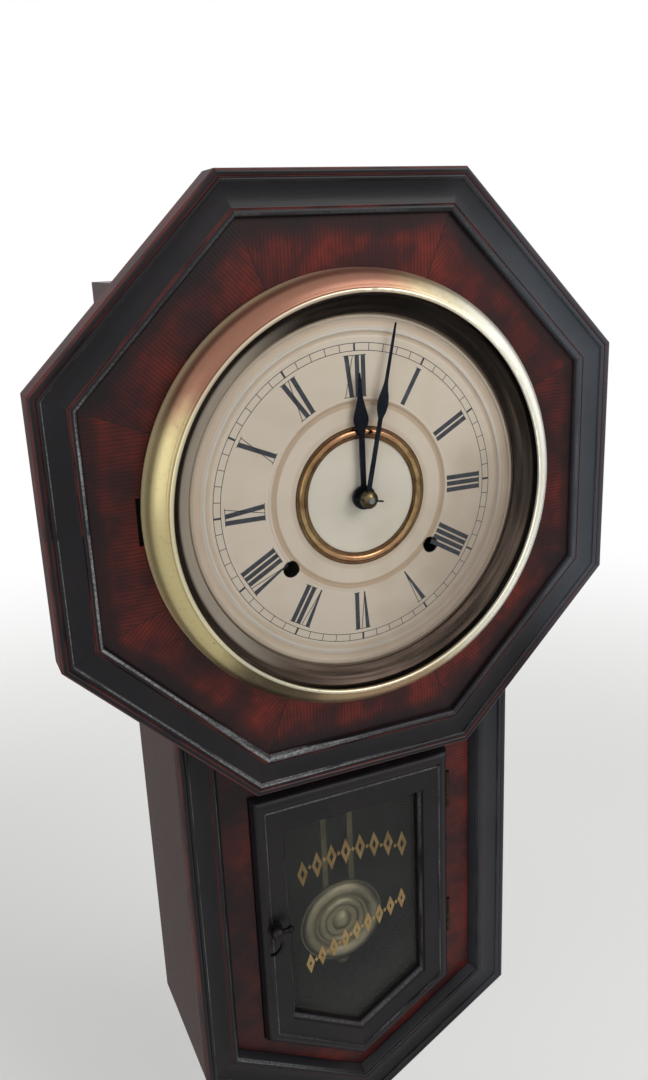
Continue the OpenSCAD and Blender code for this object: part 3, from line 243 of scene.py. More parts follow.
# Where the drop's veneer is darker: beside the moulding and all over, with painted shade towards the left and
# a painted shadow under the head
dropShade = {
    "margin": (78, 92),
    "marginDrift": 12,
    "marginDepth": 0.5,
    "everywhere": 0.38,
    # painted shade towards the left
    "left": (-40, -75),
    "leftShadeDepth": 0.4,
    # painted shadow under the head, between these heights
    "headShadowSpan": (-190, -150),
    "headShadowDepth": 0.5,
}


def dropVeneer():
    shade = dropShade
    f = Finish("dropVeneer")
    x, y, z = f.place()
    drift = f.patches(x, y, 0.03, 1) * shade["marginDrift"]
    margin = f.ease(abs(x) + drift, *shade["margin"]) * shade["marginDepth"]
    # painted shade towards the left, over a darkening all over
    left = f.ease(x, *shade["left"]) * shade["leftShadeDepth"] + shade["everywhere"]
    # painted shadow of the head along the top of the drop
    headShadow = f.ease(y, *shade["headShadowSpan"]) * shade["headShadowDepth"]
    return f.close(veneerShader(f, x, y, 5, f.top(margin, left, headShadow)))


ebonyLook = {
    "black": paint(15, 14, 18),
    "faded": paint(30, 25, 28),
    "grain": paint(38, 20, 20),
    "worn": paint(96, 44, 40),
    # dust with a painted highlight: the tone of the pale lines along the ridges
    "dustAndSheen": paint(128, 128, 130),
    "bare": paint(150, 120, 104),
    # a bluish painted sheen of reflected light
    "paintedSheen": paint(72, 77, 84),
    "rough": 0.3,
    "outerRough": 0.4,  # added on the outer faces, which were never polished
    "fadedDepth": 0.7,
    "grainDepth": 0.5,
    "chipDepth": 0.7,
    "relief": 0.08,
    "fixed": {"Specular IOR Level": 0.2, "Coat Weight": 0.03, "Coat Roughness": 0.14},
}


# Ebonised wood, rubbed brown on its beads, with pale lines of dust and painted highlight. A stripe is a
# distance from the outline, a half width, the softness of its edge, the name of its tone and its strength. Run
# is measured along the moulding, the pale lines of dust and painted highlight are stronger where the argument
# after the stripes says so, and the last argument is a painted sheen of reflected light on the polish.
def ebonyShader(f, x, y, z, depth, run, stripes, dustySheen, paintedSheen):
    look = ebonyLook
    cloud = f.cloud(x, y, z, 0.02, 3, 0.6)
    grain = f.noise(run * 0.05, depth * 1.1, z * 1.1, 3, 0.6)
    color = f.mix(f.ease(cloud, 0.4, 0.75) * look["fadedDepth"], look["black"], look["faded"])
    color = f.mix(f.ease(grain, 0.5, 0.8) * look["grainDepth"], color, look["grain"])
    # painted sheen of reflected light
    color = f.mix(paintedSheen * (0.5 + cloud * 0.6), color, look["paintedSheen"])
    speck = f.ease(f.cloud(x, y, z, 0.9, 3, 0.7), 0.4, 0.62)
    rubbed = 0
    for number, (level, half, soft, tone, strength) in enumerate(stripes):
        rub = f.ease(f.noise(run * 0.03, depth * 0.3 + number * 9, z * 0.1, 4, 0.65), 0.34, 0.6)
        stripe = f.near(depth, level, half, soft) * rub * strength
        # dust with a painted highlight, stronger where the argument says, and speckled
        if tone == "dustAndSheen":
            stripe = stripe * (0.2 + dustySheen * 0.9) * (0.45 + speck * 0.8)
        color = f.mix(stripe, color, look[tone])
        rubbed = stripe if number == 0 else f.top(rubbed, stripe)
    chip = f.ease(f.cloud(x, y, z, 0.35, 4, 0.75), 0.68, 0.74) * rubbed * look["chipDepth"]
    color = f.mix(chip, color, look["bare"])
    rough = look["rough"] + cloud * 0.14 + rubbed * 0.12 + f.ease(depth, 0.5, 0) * look["outerRough"]
    return f.shader(color, rough, 0.0, grain * 0.5 - chip * 0.5, look["relief"], look["fixed"])


headTrim = {
    # the last number of a stripe is how much it widens in the corner at the lower left, where the painted
    # highlight is broadest
    "stripes": (
        (0.3, 0.5, 0.5, "worn", 0.7, 0),
        (3.2, 0.3, 0.4, "worn", 0.6, 0),
        (5.6, 0.15, 0.3, "dustAndSheen", 0.6, 0.4),
        (16.4, 0.4, 0.4, "worn", 0.8, 0),
        (18.7, 0.35, 0.5, "dustAndSheen", 0.85, 0.9),
    ),
    # the corner at the lower left, where the painted highlight is broadest
    "corner": (-56, -132),
    "cornerFade": (62, 12),
    # dust and painted highlight are stronger towards the lower left
    "left": (55, 105),
    # painted sheen towards the right
    "right": (70, 125),
    "paintedSheen": 0.75,
}


def headEbony():
    trim = headTrim
    f = Finish("headEbony")
    x, y, z = f.place()
    number, out, across = headSector(f, x, y)
    cornerX, cornerY = trim["corner"]
    corner = f.ease(f.reach(x - cornerX, y - cornerY), *trim["cornerFade"])
    stripes = [
        (level, half + corner * widen if widen else half, soft, tone, strength)
        for level, half, soft, tone, strength, widen in trim["stripes"]
    ]
    # where dust and painted highlight are stronger: towards the lower left and in its corner
    dustySheen = f.top(f.ease(x * -1 - y * 0.6, *trim["left"]), corner)
    # painted sheen of reflected light towards the right
    paintedSheen = f.ease(x + y * 0.2, *trim["right"]) * trim["paintedSheen"]
    return f.close(ebonyShader(f, x, y, z, head["half"] - out, across + number * 40, stripes, dustySheen, paintedSheen))


# Distance inside a pentagon with a V foot: half its width, how far down its point is, and the V's rise
def insideV(f, x, y, outline):
    half, apex, rise = outline
    slope = rise / half
    foot = (y + apex - abs(x) * slope) * math.cos(math.atan(slope))
    return f.math("MINIMUM", half - abs(x), foot)


dropTrim = {
    "outline": (96.7, 387.3, 57.2),
    # stripes of the dust tone are dust with a painted highlight
    "stripes": (
        (0.3, 0.4, 0.4, "worn", 0.6),
        (5.1, 0.2, 0.3, "dustAndSheen", 0.6),
        (15.3, 0.25, 0.3, "worn", 0.5),
        (17.9, 0.2, 0.3, "dustAndSheen", 0.5),
    ),
    # dust and painted highlight are stronger towards the left
    "left": (0, 60),
    # painted sheen towards the right
    "right": (60, 90),
    "paintedSheen": 0.3,
}


def dropEbony():
    trim = dropTrim
    f = Finish("dropEbony")
    x, y, z = f.place()
    inside = insideV(f, x, y, trim["outline"])
    # dust and painted highlight are stronger towards the left
    dustySheen = f.ease(x * -1, *trim["left"])
    # painted sheen towards the right
    paintedSheen = f.ease(x, *trim["right"]) * trim["paintedSheen"]
    return f.close(ebonyShader(f, x, y, z, inside, y + x * 0.3, trim["stripes"], dustySheen, paintedSheen))


doorTrim = {
    "outline": (59.5, 352.7, 35.2),
    "top": -162,
    "railWidth": 24,
    "stileWidth": 17.8,
    # stripes of the dust tone are dust with a painted highlight
    "stripes": (
        (3.2, 0.9, 1.2, "faded", 0.8),
        (6.7, 0.2, 0.3, "dustAndSheen", 0.55),
        (17.6, 0.3, 0.4, "dustAndSheen", 0.4),
    ),
    # how strong the pale lines of dust and painted highlight are
    "dustySheen": 0.6,
}


def doorEbony():
    trim = doorTrim
    f = Finish("doorEbony")
    x, y, z = f.place()
    # the top rail is wider than the stiles, so its section is drawn out
    top = (trim["top"] - y) * (trim["stileWidth"] / trim["railWidth"])
    inside = f.math("MINIMUM", insideV(f, x, y, trim["outline"]), top)
    return f.close(ebonyShader(f, x, y, z, inside, y + x * 0.4, trim["stripes"], trim["dustySheen"], 0))


# Rings is how far the growth rings lean with the board's thickness, and the last number is how far the front
# of the head's board is painted black, a painted shade where it shows round the bezel
woodLooks = {
    "sideWood": {
        "dark": paint(26, 13, 12), "light": paint(66, 38, 33),
        "rough": 0.42, "gloss": 0.1, "rings": 0.55, "frontShade": 0,
    },
    "headPine": {
        "dark": paint(14, 9, 9), "light": paint(176, 136, 92),
        "rough": 0.62, "gloss": 0.25, "rings": 0.35, "frontShade": 1,
    },
    "palePine": {
        "dark": paint(120, 84, 50), "light": paint(176, 136, 92),
        "rough": 0.62, "gloss": 0.25, "rings": 0.35, "frontShade": 0,
    },
    # darker pine, painted shade for the inside of the case
    "backWood": {
        "dark": paint(50, 42, 36), "light": paint(76, 66, 56),
        "rough": 0.62, "gloss": 0.25, "rings": 0.35, "frontShade": 0,
    },
    "beadWood": {
        "dark": paint(30, 20, 18), "light": paint(66, 42, 34),
        "rough": 0.45, "gloss": 0.25, "rings": 0.6, "frontShade": 0,
    },
    "ringBend": 24,  # how far the growth rings stray from straight
    "ringPace": 0.9,
    "poreDepth": 0.6,
    "frontShadeFrom": (94.5, 96),  # the painted black starts between these heights
    "relief": 0.06,
}


# Plain boards, their grain running up the clock or, where flat is set, across it
def board(name, flat=False):
    look = woodLooks[name]
    f = Finish(name + ("Flat" if flat else ""))
    x, y, z = f.place()
    along, across = (x, y) if flat else (y, x)
    bend = f.noise(x * 0.012, along * 0.004, z * 0.012)
    layers = across * 0.5 + z * look["rings"] + bend * woodLooks["ringBend"]
    rings = f.math("SINE", layers * woodLooks["ringPace"]) * 0.5 + 0.5
    fibre = f.noise(along * 0.05, across * 1.6, z * 1.6, 4, 0.65)
    cloud = f.cloud(x, y, z, 0.015)
    color = f.mix(rings * 0.2 + fibre * 0.6 + cloud * 0.35 - 0.12, look["dark"], look["light"])
    pores = f.ease(f.noise(along * 0.25, across * 4, z * 4), 0.62, 0.7)
    color = f.mix(pores * woodLooks["poreDepth"], color, look["dark"])
    color = f.mix(f.ease(z, *woodLooks["frontShadeFrom"]) * look["frontShade"], color, look["dark"])
    rough = look["rough"] + fibre * 0.14
    fixed = {"Specular IOR Level": look["gloss"]}
    return f.close(f.shader(color, rough, 0.0, fibre - pores, woodLooks["relief"], fixed))


metalLooks = {
    "agedBrass": {
        "tones": (paint(122, 92, 50), paint(178, 146, 84), paint(205, 176, 112)),
        "rough": 0.3, "spots": 0.5,
    },
    "nutBrass": {
        "tones": (paint(56, 47, 36), paint(100, 86, 62), paint(146, 128, 96)),
        "rough": 0.14, "spots": 0.5,
    },
    "hingeBrass": {
        "tones": (paint(30, 26, 20), paint(58, 48, 34), paint(90, 76, 52)),
        "rough": 0.42, "spots": 0.5,
    },
    "bobBrass": {
        "tones": (paint(146, 134, 110), paint(186, 174, 146), paint(218, 208, 182)),
        "rough": 0.36, "spots": 0.3,
    },
    "rodBrass": {
        "tones": (paint(100, 91, 68), paint(132, 121, 92), paint(160, 148, 114)),
        "rough": 0.4, "spots": 0.3,
    },
    "greySteel": {
        "tones": (paint(92, 93, 95), paint(140, 142, 145), paint(176, 178, 180)),
        "rough": 0.32, "spots": 0.35,
    },
    "blackIron": {
        "tones": (paint(20, 19, 20), paint(38, 36, 36), paint(60, 56, 54)),
        "rough": 0.38, "spots": 0.3,
    },
    "bluedSteel": {
        "tones": (paint(16, 18, 24), paint(30, 33, 42), paint(48, 50, 60)),
        "rough": 0.3, "spots": 0.2,
    },
    "gongSteel": {
        "tones": (paint(38, 40, 48), paint(66, 70, 80), paint(100, 104, 112)),
        "rough": 0.35, "spots": 0.2,
    },
    "relief": 0.02,
}


# Metal with a cloudy patina, fine scratches and dark spots
def metal(name):
    look = metalLooks[name]
    low, mid, high = look["tones"]
    f = Finish(name)
    x, y, z = f.place()
    cloud = f.cloud(x, y, z, 0.07, 4, 0.6)
    scratch = f.noise(x * 0.4, y * 4, z * 2, 2, 0.7)
    spot = f.ease(f.cloud(x, y, z, 0.55, 2, 0.6), 0.67, 0.74) * look["spots"]
    color = f.ramp(cloud * 0.8 + scratch * 0.2, ((0.28, low), (0.52, mid), (0.78, high)))
    color = f.mix(spot, color, low)
    rough = look["rough"] + cloud * 0.16 + spot * 0.3 + scratch * 0.06
    return f.close(f.shader(color, rough, 1.0, scratch * 0.4 - spot, metalLooks["relief"]))


bezelLook = {
    "straw": paint(186, 172, 126),
    "zones": (
        # a zone's middle in degrees round from the right, half its width, its soft end and its tone
        # painted reflection, near white, at the right
        (2, 36, 42, paint(255, 254, 242)),
        # rosy: tarnish and painted reflection, at the top
        (112, 27, 24, paint(140, 97, 79)),
        # painted shade at the lower left
        (240, 6, 24, paint(76, 64, 44)),
        (274, 8, 26, paint(158, 130, 98)),
    ),
    "bead": paint(222, 216, 190),
    "beadHighlightLine": (95.9, 0.6, 0.5),  # a painted highlight along the bead: its distance out, half its width and its soft edge
    "beadHighlightDepth": 0.6,
    "tarnish": paint(96, 74, 46),
    "tarnishDepth": 0.2,
    "spotDepth": 0.25,
    "lowSpotDepth": 0.5,  # added below, where the spots are darker
    "lowFrom": (20, 80),
    "wall": (111, 105),  # the outer wall starts between these heights
    "wallSide": (20, -60),  # and has painted light on it towards the left
    "wallLight": paint(226, 214, 172),
    "wallDepth": 0.6,
    "seam": (102.3, 101.2),
    "rough": 0.24,
    "metal": 0.7,
    "wallDull": 0.5,
    "relief": 0.02,
}


# The bezel's sheet brass, with another tone on each part of its round, among them painted reflection and
# painted shade, a painted highlight along its bead and painted light on its outer wall at the left
def bezelBrass():
    look = bezelLook
    f = Finish("bezelBrass")
    x, y, z = f.place()
    reach = f.reach(x, y)
    cloud = f.noise(x * 0.03, y * 0.03, z * 0.05, 4, 0.6)
    fine = f.cloud(x, y, z, 0.35, 3, 0.7)
    brush = f.noise(x / reach * 4, y / reach * 4, reach * 3 + z * 3)
    turn = f.math("ARCTAN2", y, x) / fullTurn + (cloud - 0.5) * 0.08
    color = look["straw"]
    for middle, half, soft, tone in look["zones"]:
        away = abs(f.math("FRACT", turn + 1.5 - middle / 360) - 0.5) * 360
        color = f.mix(1 - f.ease(away, half, half + soft), color, tone)
    color = f.mix(f.ease(fine, 0.5, 0.8) * look["tarnishDepth"], color, look["tarnish"])
    # painted highlight along the bead
    color = f.mix(f.near(reach, *look["beadHighlightLine"]) * look["beadHighlightDepth"], color, look["bead"])
    spots = f.ease(f.cloud(x, y, z, 0.8, 2, 0.6), 0.67, 0.72)
    low = f.ease(cloud * 40 - y, *look["lowFrom"])
    color = f.mix(spots * (look["spotDepth"] + low * look["lowSpotDepth"]), color, look["tarnish"])
    wall = f.ease(z, *look["wall"])
    # painted light on the outer wall, towards the left
    color = f.mix(wall * f.ease(x, *look["wallSide"]) * look["wallDepth"], color, look["wallLight"])
    color = f.mix(f.ease(z, *look["seam"]), color, look["tarnish"])
    bare = look["metal"] - wall * look["wallDull"]
    rough = look["rough"] + cloud * 0.14 + spots * 0.25
    return f.close(f.shader(color, rough, bare, brush * 0.5 + fine * 0.5, look["relief"]))


sightLook = {
    "tones": ((0.32, paint(30, 27, 25)), (0.5, paint(66, 56, 50)), (0.68, paint(108, 92, 84))),
    "shade": paint(30, 27, 25),  # under the bezel's upper edge
    "shadeFrom": (0, 80),
    "shadeDepth": 0.6,
    "lipHighlight": paint(200, 188, 174),  # a painted highlight on the inner part, at the left
    "lipEdge": (92, 90.2),
    "lipEnds": (32, 70),
    "rough": 0.34,
    "relief": 0.005,
}


# The dark ring between bezel and dial, streaked the way it was turned, with painted shade under the bezel's
# upper edge and a painted highlight on its inner part at the left
def sightBrass():
    look = sightLook
    f = Finish("sightBrass")
    x, y, z = f.place()
    reach = f.reach(x, y)
    streak = f.noise(x / reach * 1.5, y / reach * 1.5, reach * 0.45, 3)
    cloud = f.patches(x, y, 0.02, 1)
    color = f.ramp(streak * 0.7 + cloud * 0.3, look["tones"])
    color = f.mix(f.ease(y, *look["shadeFrom"]) * look["shadeDepth"], color, look["shade"])
    # painted highlight on the inner part, at the left
    lipHighlight = f.ease(reach, *look["lipEdge"]) * f.ease(y * 0.1 - x, *look["lipEnds"])
    color = f.mix(lipHighlight * (0.65 + streak * 0.5), color, look["lipHighlight"])
    return f.close(f.shader(color, look["rough"] + cloud * 0.1, 1.0 - lipHighlight * 0.7, streak, look["relief"]))


ringLook = {
    "tones": ((0.3, paint(120, 88, 56)), (0.72, paint(206, 178, 130))),
    "rose": paint(164, 112, 88),  # at the top and the foot of the ring
    "roseFrom": (18, 36),
    "roseDepth": 0.55,
    "middle": 30.95,
    "corner": (1.7, 2.8),  # painted shade between these distances from the ring's middle line
    "cornerShade": paint(52, 34, 24),
    "cornerShadeDepth": 0.85,
    "rough": 0.12,
    "relief": 0.02,
}


# The round brass ring on the dial, rosy at its top and its foot, with painted shade in its corners
def ringBrass():
    look = ringLook
    f = Finish("ringBrass")
    x, y, z = f.place()
    cloud = f.cloud(x, y, z, 0.07, 4, 0.6)
    color = f.ramp(cloud, look["tones"])
    color = f.mix(f.ease(abs(y) + cloud * 10, *look["roseFrom"]) * look["roseDepth"], color, look["rose"])
    # painted shade in the ring's corners
    corner = f.ease(abs(f.reach(x, y) - look["middle"]), *look["corner"])
    color = f.mix(corner * look["cornerShadeDepth"], color, look["cornerShade"])
    rough = look["rough"] + cloud * 0.14 + corner * 0.2
    return f.close(f.shader(color, rough, 1.0, cloud, look["relief"]))


dialLook = {
    "paper": paint(227, 213, 198),
    "middle": paint(229, 222, 209),
    "middleEdge": (26, 34),
    "tan": paint(190, 162, 134),
    "pale": paint(214, 211, 208),
    "foxing": paint(204, 184, 160),
    "foxingDepth": 0.35,
    "bezelShadow": paint(150, 132, 120),  # painted shadow of the bezel, towards the lower right
    "bezelShadowFrom": (40, 105),
    "bezelShadowDepth": 0.65,
    # a round mark is its distance out, half its width and its soft edge
    "grime": (35.6, 0.3, 1.6),
    "grimeDepth": 0.3,
    # the tan in the groove is painted shade in its hollow
    "groove": (45.2, 0.9, 1.1),
    "grooveDepth": 0.75,
    # the tan rings are painted shade in the rim's grooves, the pale ring a painted highlight on its ridge
    "rings": ((76.6, 0.5, "tan"), (78.7, 0.7, "pale"), (81.3, 1.0, "tan")),
    "ringSoft": 0.8,
    "ringDepth": 0.42,
    # painted shade at the pan's outer rim, beside the sight ring, from the first distance to the second
    "rim": (82.4, 86),
    "rimShade": paint(168, 147, 127),
    "holes": (37.8, -30.5),  # the winding holes stand this far out and down
    # painted shade round the winding holes, making the dark of each hole wider: its radius and soft edge
    "holeShade": (4.0, 0.3),
    "holeShadeTone": paint(24, 22, 22),
    "rough": 0.42,
    "gloss": 0.35,
    "relief": 0.02,
}


def dialPaint():
    look = dialLook
    f = Finish("dialPaint")
    x, y, z = f.place()
    reach = f.reach(x, y)
    color = f.mix(f.ease(reach, *look["middleEdge"]), look["middle"], look["paper"])
    cloud = f.patches(x, y, 0.03, 0.5, 3, 0.6)
    color = f.mix(f.ease(cloud, 0.42, 0.75) * look["foxingDepth"], color, look["foxing"])
    uneven = reach + f.patches(x, y, 0.05, 7) * 0.8
    # painted shade in the groove
    color = f.mix(f.near(uneven, *look["groove"]) * look["grooveDepth"], color, look["tan"])
    for level, half, tone in look["rings"]:
        color = f.mix(f.near(reach, level, half, look["ringSoft"]) * look["ringDepth"], color, look[tone])
    # painted shade at the rim
    color = f.mix(f.ease(reach, *look["rim"]), color, look["rimShade"])
    # painted shadow of the bezel on the lower right
    bezelShadow = f.ease(x * 0.8 - y * 0.6 + cloud * 30, *look["bezelShadowFrom"])
    color = f.mix(bezelShadow * look["bezelShadowDepth"], color, look["bezelShadow"])
    freckle = f.ease(f.patches(x, y, 0.5, 2), 0.73, 0.78)
    color = f.mix(freckle * look["foxingDepth"], color, look["foxing"])
    color = f.mix(f.near(uneven, *look["grime"]) * look["grimeDepth"], color, look["tan"])
    holeX, holeY = look["holes"]
    hole = f.reach(abs(x) - holeX, y - holeY)
    # painted shade round the winding holes
    color = f.mix(f.near(hole, 0, *look["holeShade"]), color, look["holeShadeTone"])
    fine = f.patches(x, y, 0.9, 3, 3, 0.6)
    fixed = {"Specular IOR Level": look["gloss"]}
    return f.close(f.shader(color, look["rough"] + cloud * 0.14, 0.0, fine, look["relief"], fixed))


inkLook = {
    "tones": ((0.3, paint(50, 53, 60)), (0.6, paint(72, 76, 84)), (0.8, paint(112, 115, 118))),
    "rough": 0.5,
    "gloss": 0.3,
}


def dialInk():
    look = inkLook
    f = Finish("dialInk")
    x, y, z = f.place()
    fade = f.patches(x, y, 0.25, 1, 4, 0.7)
    color = f.ramp(fade, look["tones"])
    fixed = {"Specular IOR Level": look["gloss"]}
    return f.close(f.shader(color, look["rough"] + fade * 0.1, fixed=fixed))


gildLook = {
    "tones": ((0.3, paint(212, 164, 98)), (0.55, paint(240, 198, 130)), (0.8, paint(248, 220, 158))),
    "worn": paint(92, 76, 54),
    "wornDepth": 0.5,
    "rough": 0.42,
    "metal": 0.35,
    "relief": 0.02,
}


def gilding():
    look = gildLook
    f = Finish("gilding")
    x, y, z = f.place()
    worn = f.ease(f.patches(x, y, 0.8, 3, 3, 0.6), 0.55, 0.72)
    color = f.ramp(f.patches(x, y, 0.12, 1, 3, 0.6), look["tones"])
    color = f.mix(worn * look["wornDepth"], color, look["worn"])
    return f.close(f.shader(color, look["rough"] + worn * 0.2, look["metal"], worn * -1.0, look["relief"]))


glassLooks = {
    "dialGlass": {"tint": (1.0, 1.0, 0.99, 1), "veil": 0.01, "gloss": 0.7},
    "doorGlass": {"tint": (0.97, 0.98, 0.97, 1), "veil": 0.2, "gloss": 0.5},
    "dustAndSheen": (paint(58, 61, 60), paint(70, 71, 68)),
    "dustRough": 0.06,
    "smear": 0.04,
}


# Glass that lets the lamps through: a dusty glossy film over a clear one, heavier towards the sides
def pane(name):
    look = glassLooks[name]
    f = Finish(name)
    x, y, z = f.place()
    smear = f.ease(f.noise(x * 0.012, y * 0.02, z * 0.02, 3), 0.4, 0.8)
    rim = f.add("LayerWeight", None, {"Blend": 0.25}, "Fresnel")
    film = f.ease(rim, 0.06, 0.8) * look["gloss"] + smear * glassLooks["smear"] + look["veil"]
    dustySheen = f.shader(f.mix(smear, *glassLooks["dustAndSheen"]), glassLooks["dustRough"] + smear * 0.1)
    clear = f.add("BsdfTransparent", None, {"Color": look["tint"]})
    return f.close(f.add("MixShader", None, {0: film, 1: clear, 2: dustySheen}))


print("finishes: veneer, ebony, boards, metals, dial and glass")
finishes = {
    headVeneer(): ["octagon_veneer"],
    dropVeneer(): ["drop_front"],
    headEbony(): ["octagon_molding"],
    dropEbony(): ["drop_molding"],
    doorEbony(): ["door_frame"],
    board("sideWood"): ["side_boards", "bottom_boards"],
    board("backWood"): ["backboard"],
    board("palePine"): ["movement_blocks"],
    board("palePine", flat=True): ["top_board"],
    board("headPine"): ["octagon_board"],
    board("beadWood"): ["glazing_bead"],
    bezelBrass(): ["bezel"],
    ringBrass(): ["dial_ring"],
    sightBrass(): ["sight_ring"],
    metal("nutBrass"): ["hand_nut"],
    metal("hingeBrass"): ["bezel_hinge_leaf", "hinge_bases", "door_hinge_leaves", "hinge_pins", "bezel_catch"],
    metal("bobBrass"): ["pendulum_bob"],
    metal("rodBrass"): ["pendulum_rod", "rating_nut"],
    metal("agedBrass"): [
        "wood_screws", "front_plate", "back_plate", "pillars", "minute_wheel", "hour_wheel",
        "time_great_wheel", "second_wheel", "center_wheel", "third_wheel", "escape_wheel", "suspension_post",
        "strike_great_wheel", "strike_second_wheel", "pin_wheel", "warning_wheel", "fly",
    ],
    metal("greySteel"): [
        "hanger_plate", "latch_keeper", "plate_nuts", "minute_arbor", "time_winding_arbor",
        "strike_winding_arbor", "mainsprings", "verge", "suspension_spring", "hammer",
    ],
    metal("blackIron"): ["door_handle", "gong_stand"],
    metal("bluedSteel"): ["hour_hand", "minute_hand", "taper_pin"],
    metal("gongSteel"): ["gong"],
    dialPaint(): ["dial_pan"],
    pane("dialGlass"): ["bezel_glass"],
    pane("doorGlass"): ["door_glass"],
}
for finish, names in finishes.items():
    for name in names:
        piece = parts[name]
        if not piece.material_slots:
            piece.data.materials.append(finish)
        for slot in piece.material_slots:
            slot.material = finish
unfinished = set(parts) - {name for names in finishes.values() for name in names}
print("nodes without a finish:", sorted(unfinished))


# Thin plates standing from low to high on a flat ground, each from a convex outline
def plates(name, outlines, low, high, finish, body):
    points, faces = [], []
    for outline in outlines:
        start, n = len(points), len(outline)
        area = sum(a[0] * b[1] - b[0] * a[1] for a, b in zip(outline, outline[1:] + outline[:1]))
        ring = outline if area > 0 else outline[::-1]
        points += [at(*p, z) for z in (low, high) for p in ring]
        faces += [[start + i for i in reversed(range(n))], [start + n + i for i in range(n)]]
        faces += [[start + i, start + (i + 1) % n, start + n + (i + 1) % n, start + n + i] for i in range(n)]
    mesh = bpy.data.meshes.new(name)
    mesh.from_pydata(points, [], faces)
    mesh.update()
    mesh.materials.append(finish)
    piece = bpy.data.objects.new(name, mesh)
    bpy.context.scene.collection.objects.link(piece)
    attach(piece, body)


def bar(x0, y0, x1, y1):
    return [(x0, y0), (x1, y0), (x1, y1), (x0, y1)]


printing = {
    "hours": ("XII", "I", "II", "III", "IIII", "V", "VI", "VII", "VIII", "IX", "X", "XI"),
    "middle": (-1.2, -0.6),  # the print sits a little off the middle of the pan
    "trackIn": 69.4,
    "trackOut": 72.9,
    "trackSides": 180,
    "line": 0.3,
    "minute": 0.32,
    "fiveMinutes": 1.0,
    "foot": 48.0,
    "head": 67.5,
    "stroke": 2.25,
    "gap": 0.85,
    "wide": 4.6,  # width of a V or an X
    "hair": 0.35,
    "thickPoint": (-0.2, 0.5),  # where the strokes of a V end, either side of its middle
    "thinPoint": (-0.1, 0.25),
    "overhang": 0.5,
    "level": 106.5,  # the pan's face
    "sunk": 0.03,
    "thick": 0.05,
}


# One numeral as outlines, with its foot at y = 0 and its middle at x = 0
def numeral(word):
    p = printing
    tall = p["head"] - p["foot"]
    thick, hair, line, over = p["stroke"], p["hair"], p["line"], p["overhang"]
    width = {"I": thick, "V": p["wide"], "X": p["wide"]}
    half = (sum(width[c] for c in word) + p["gap"] * (len(word) - 1)) / 2
    x, shapes, footStart = -half, [], None
    for c in word:
        w = width[c]
        mid = x + w * 0.5
        if c == "I":
            shapes.append(bar(x, 0, x + w, tall))
        if c == "V":
            left, right = p["thickPoint"]
            shapes.append([(mid + left, 0), (mid + right, 0), (x + thick, tall), (x, tall)])
            left, right = p["thinPoint"]
            shapes.append([(mid + left, 0), (mid + right, 0), (x + w, tall), (x + w - hair, tall)])
        if c == "X":
            shapes.append([(x + w - thick, 0), (x + w, 0), (x + thick, tall), (x, tall)])
            shapes.append([(x, 0), (x + hair, 0), (x + w, tall), (x + w - hair, tall)])
        if c != "V" and footStart is None:
            footStart = x
        x += w + p["gap"]
    shapes.append(bar(-half - over, tall - line, half + over, tall))
    if footStart is not None:
        shapes.append(bar(footStart - over, 0, half + over, line))
    return shapes


def dialPrint():
    p = printing
    cx, cy = p["middle"]
    shapes = []

    def turned(outline, angle):
        s, c = math.sin(angle), math.cos(angle)
        return [(cx + x * c + y * s, cy - x * s + y * c) for x, y in outline]

    for hour, word in enumerate(p["hours"]):
        for shape in numeral(word):
            shapes.append(turned([(x, y + p["foot"]) for x, y in shape], math.radians(30 * hour)))
    for minute in range(60):
        half = (p["fiveMinutes"] if minute % 5 == 0 else p["minute"]) / 2
        shapes.append(turned(bar(-half, p["trackIn"], half, p["trackOut"]), math.radians(6 * minute)))
    for r in (p["trackIn"], p["trackOut"]):
        low, high = r - p["line"] / 2, r + p["line"] / 2
        for i in range(p["trackSides"]):
            a, b = (fullTurn * k / p["trackSides"] for k in (i, i + 1))
            shapes.append(turned([(0, low)], a) + turned([(0, low), (0, high)], b) + turned([(0, high)], a))
    bottom, top = p["level"] - p["sunk"], p["level"] + p["thick"]
    plates("dial_print", shapes, bottom, top, dialInk(), "case")


gildedBands = {
    "upper": {"count": 8, "left": (-30, -220.5), "right": (33, -220.5), "rise": 6.5, "tall": 17, "wide": 6.4},
    "lower": {"count": 9, "left": (-28, -281.5), "right": (32, -257.5), "rise": 0, "tall": 14, "wide": 5.4},
    "stroke": 2.0,
    "bead": (1.1, 1.6),  # half the width and height of the small lozenges between
    "glassBack": 78,
    "thick": 0.06,
}


# Two bands of plain lozenges painted on the back of the door's glass
def doorGilding():
    shapes = []
    s = gildedBands["stroke"]
    beadW, beadH = gildedBands["bead"]
    for band in (gildedBands["upper"], gildedBands["lower"]):
        (x0, y0), (x1, y1) = band["left"], band["right"]
        gaps = band["count"] - 1
        h, w = band["tall"] / 2, band["wide"] / 2
        for i in range(band["count"]):
            t = i / gaps
            x, y = x0 + (x1 - x0) * t, y0 + (y1 - y0) * t + band["rise"] * 4 * t * (1 - t)
            outer = [(x, y - h), (x + w, y), (x, y + h), (x - w, y)]
            inner = [(x, y - h + s * h / w), (x + w - s, y), (x, y + h - s * h / w), (x - w + s, y)]
            shapes += [[outer[k], outer[(k + 1) % 4], inner[(k + 1) % 4], inner[k]] for k in range(4)]
            if i:
                px, py = x - (x1 - x0) / gaps / 2, y - (y1 - y0) / gaps / 2
                shapes.append([(px, py - beadH), (px + beadW, py), (px, py + beadH), (px - beadW, py)])
    back = gildedBands["glassBack"]
    plates("door_gilding", shapes, back - gildedBands["thick"], back, gilding(), "lower_door")


print("dial print and door gilding")
dialPrint()
doorGilding()

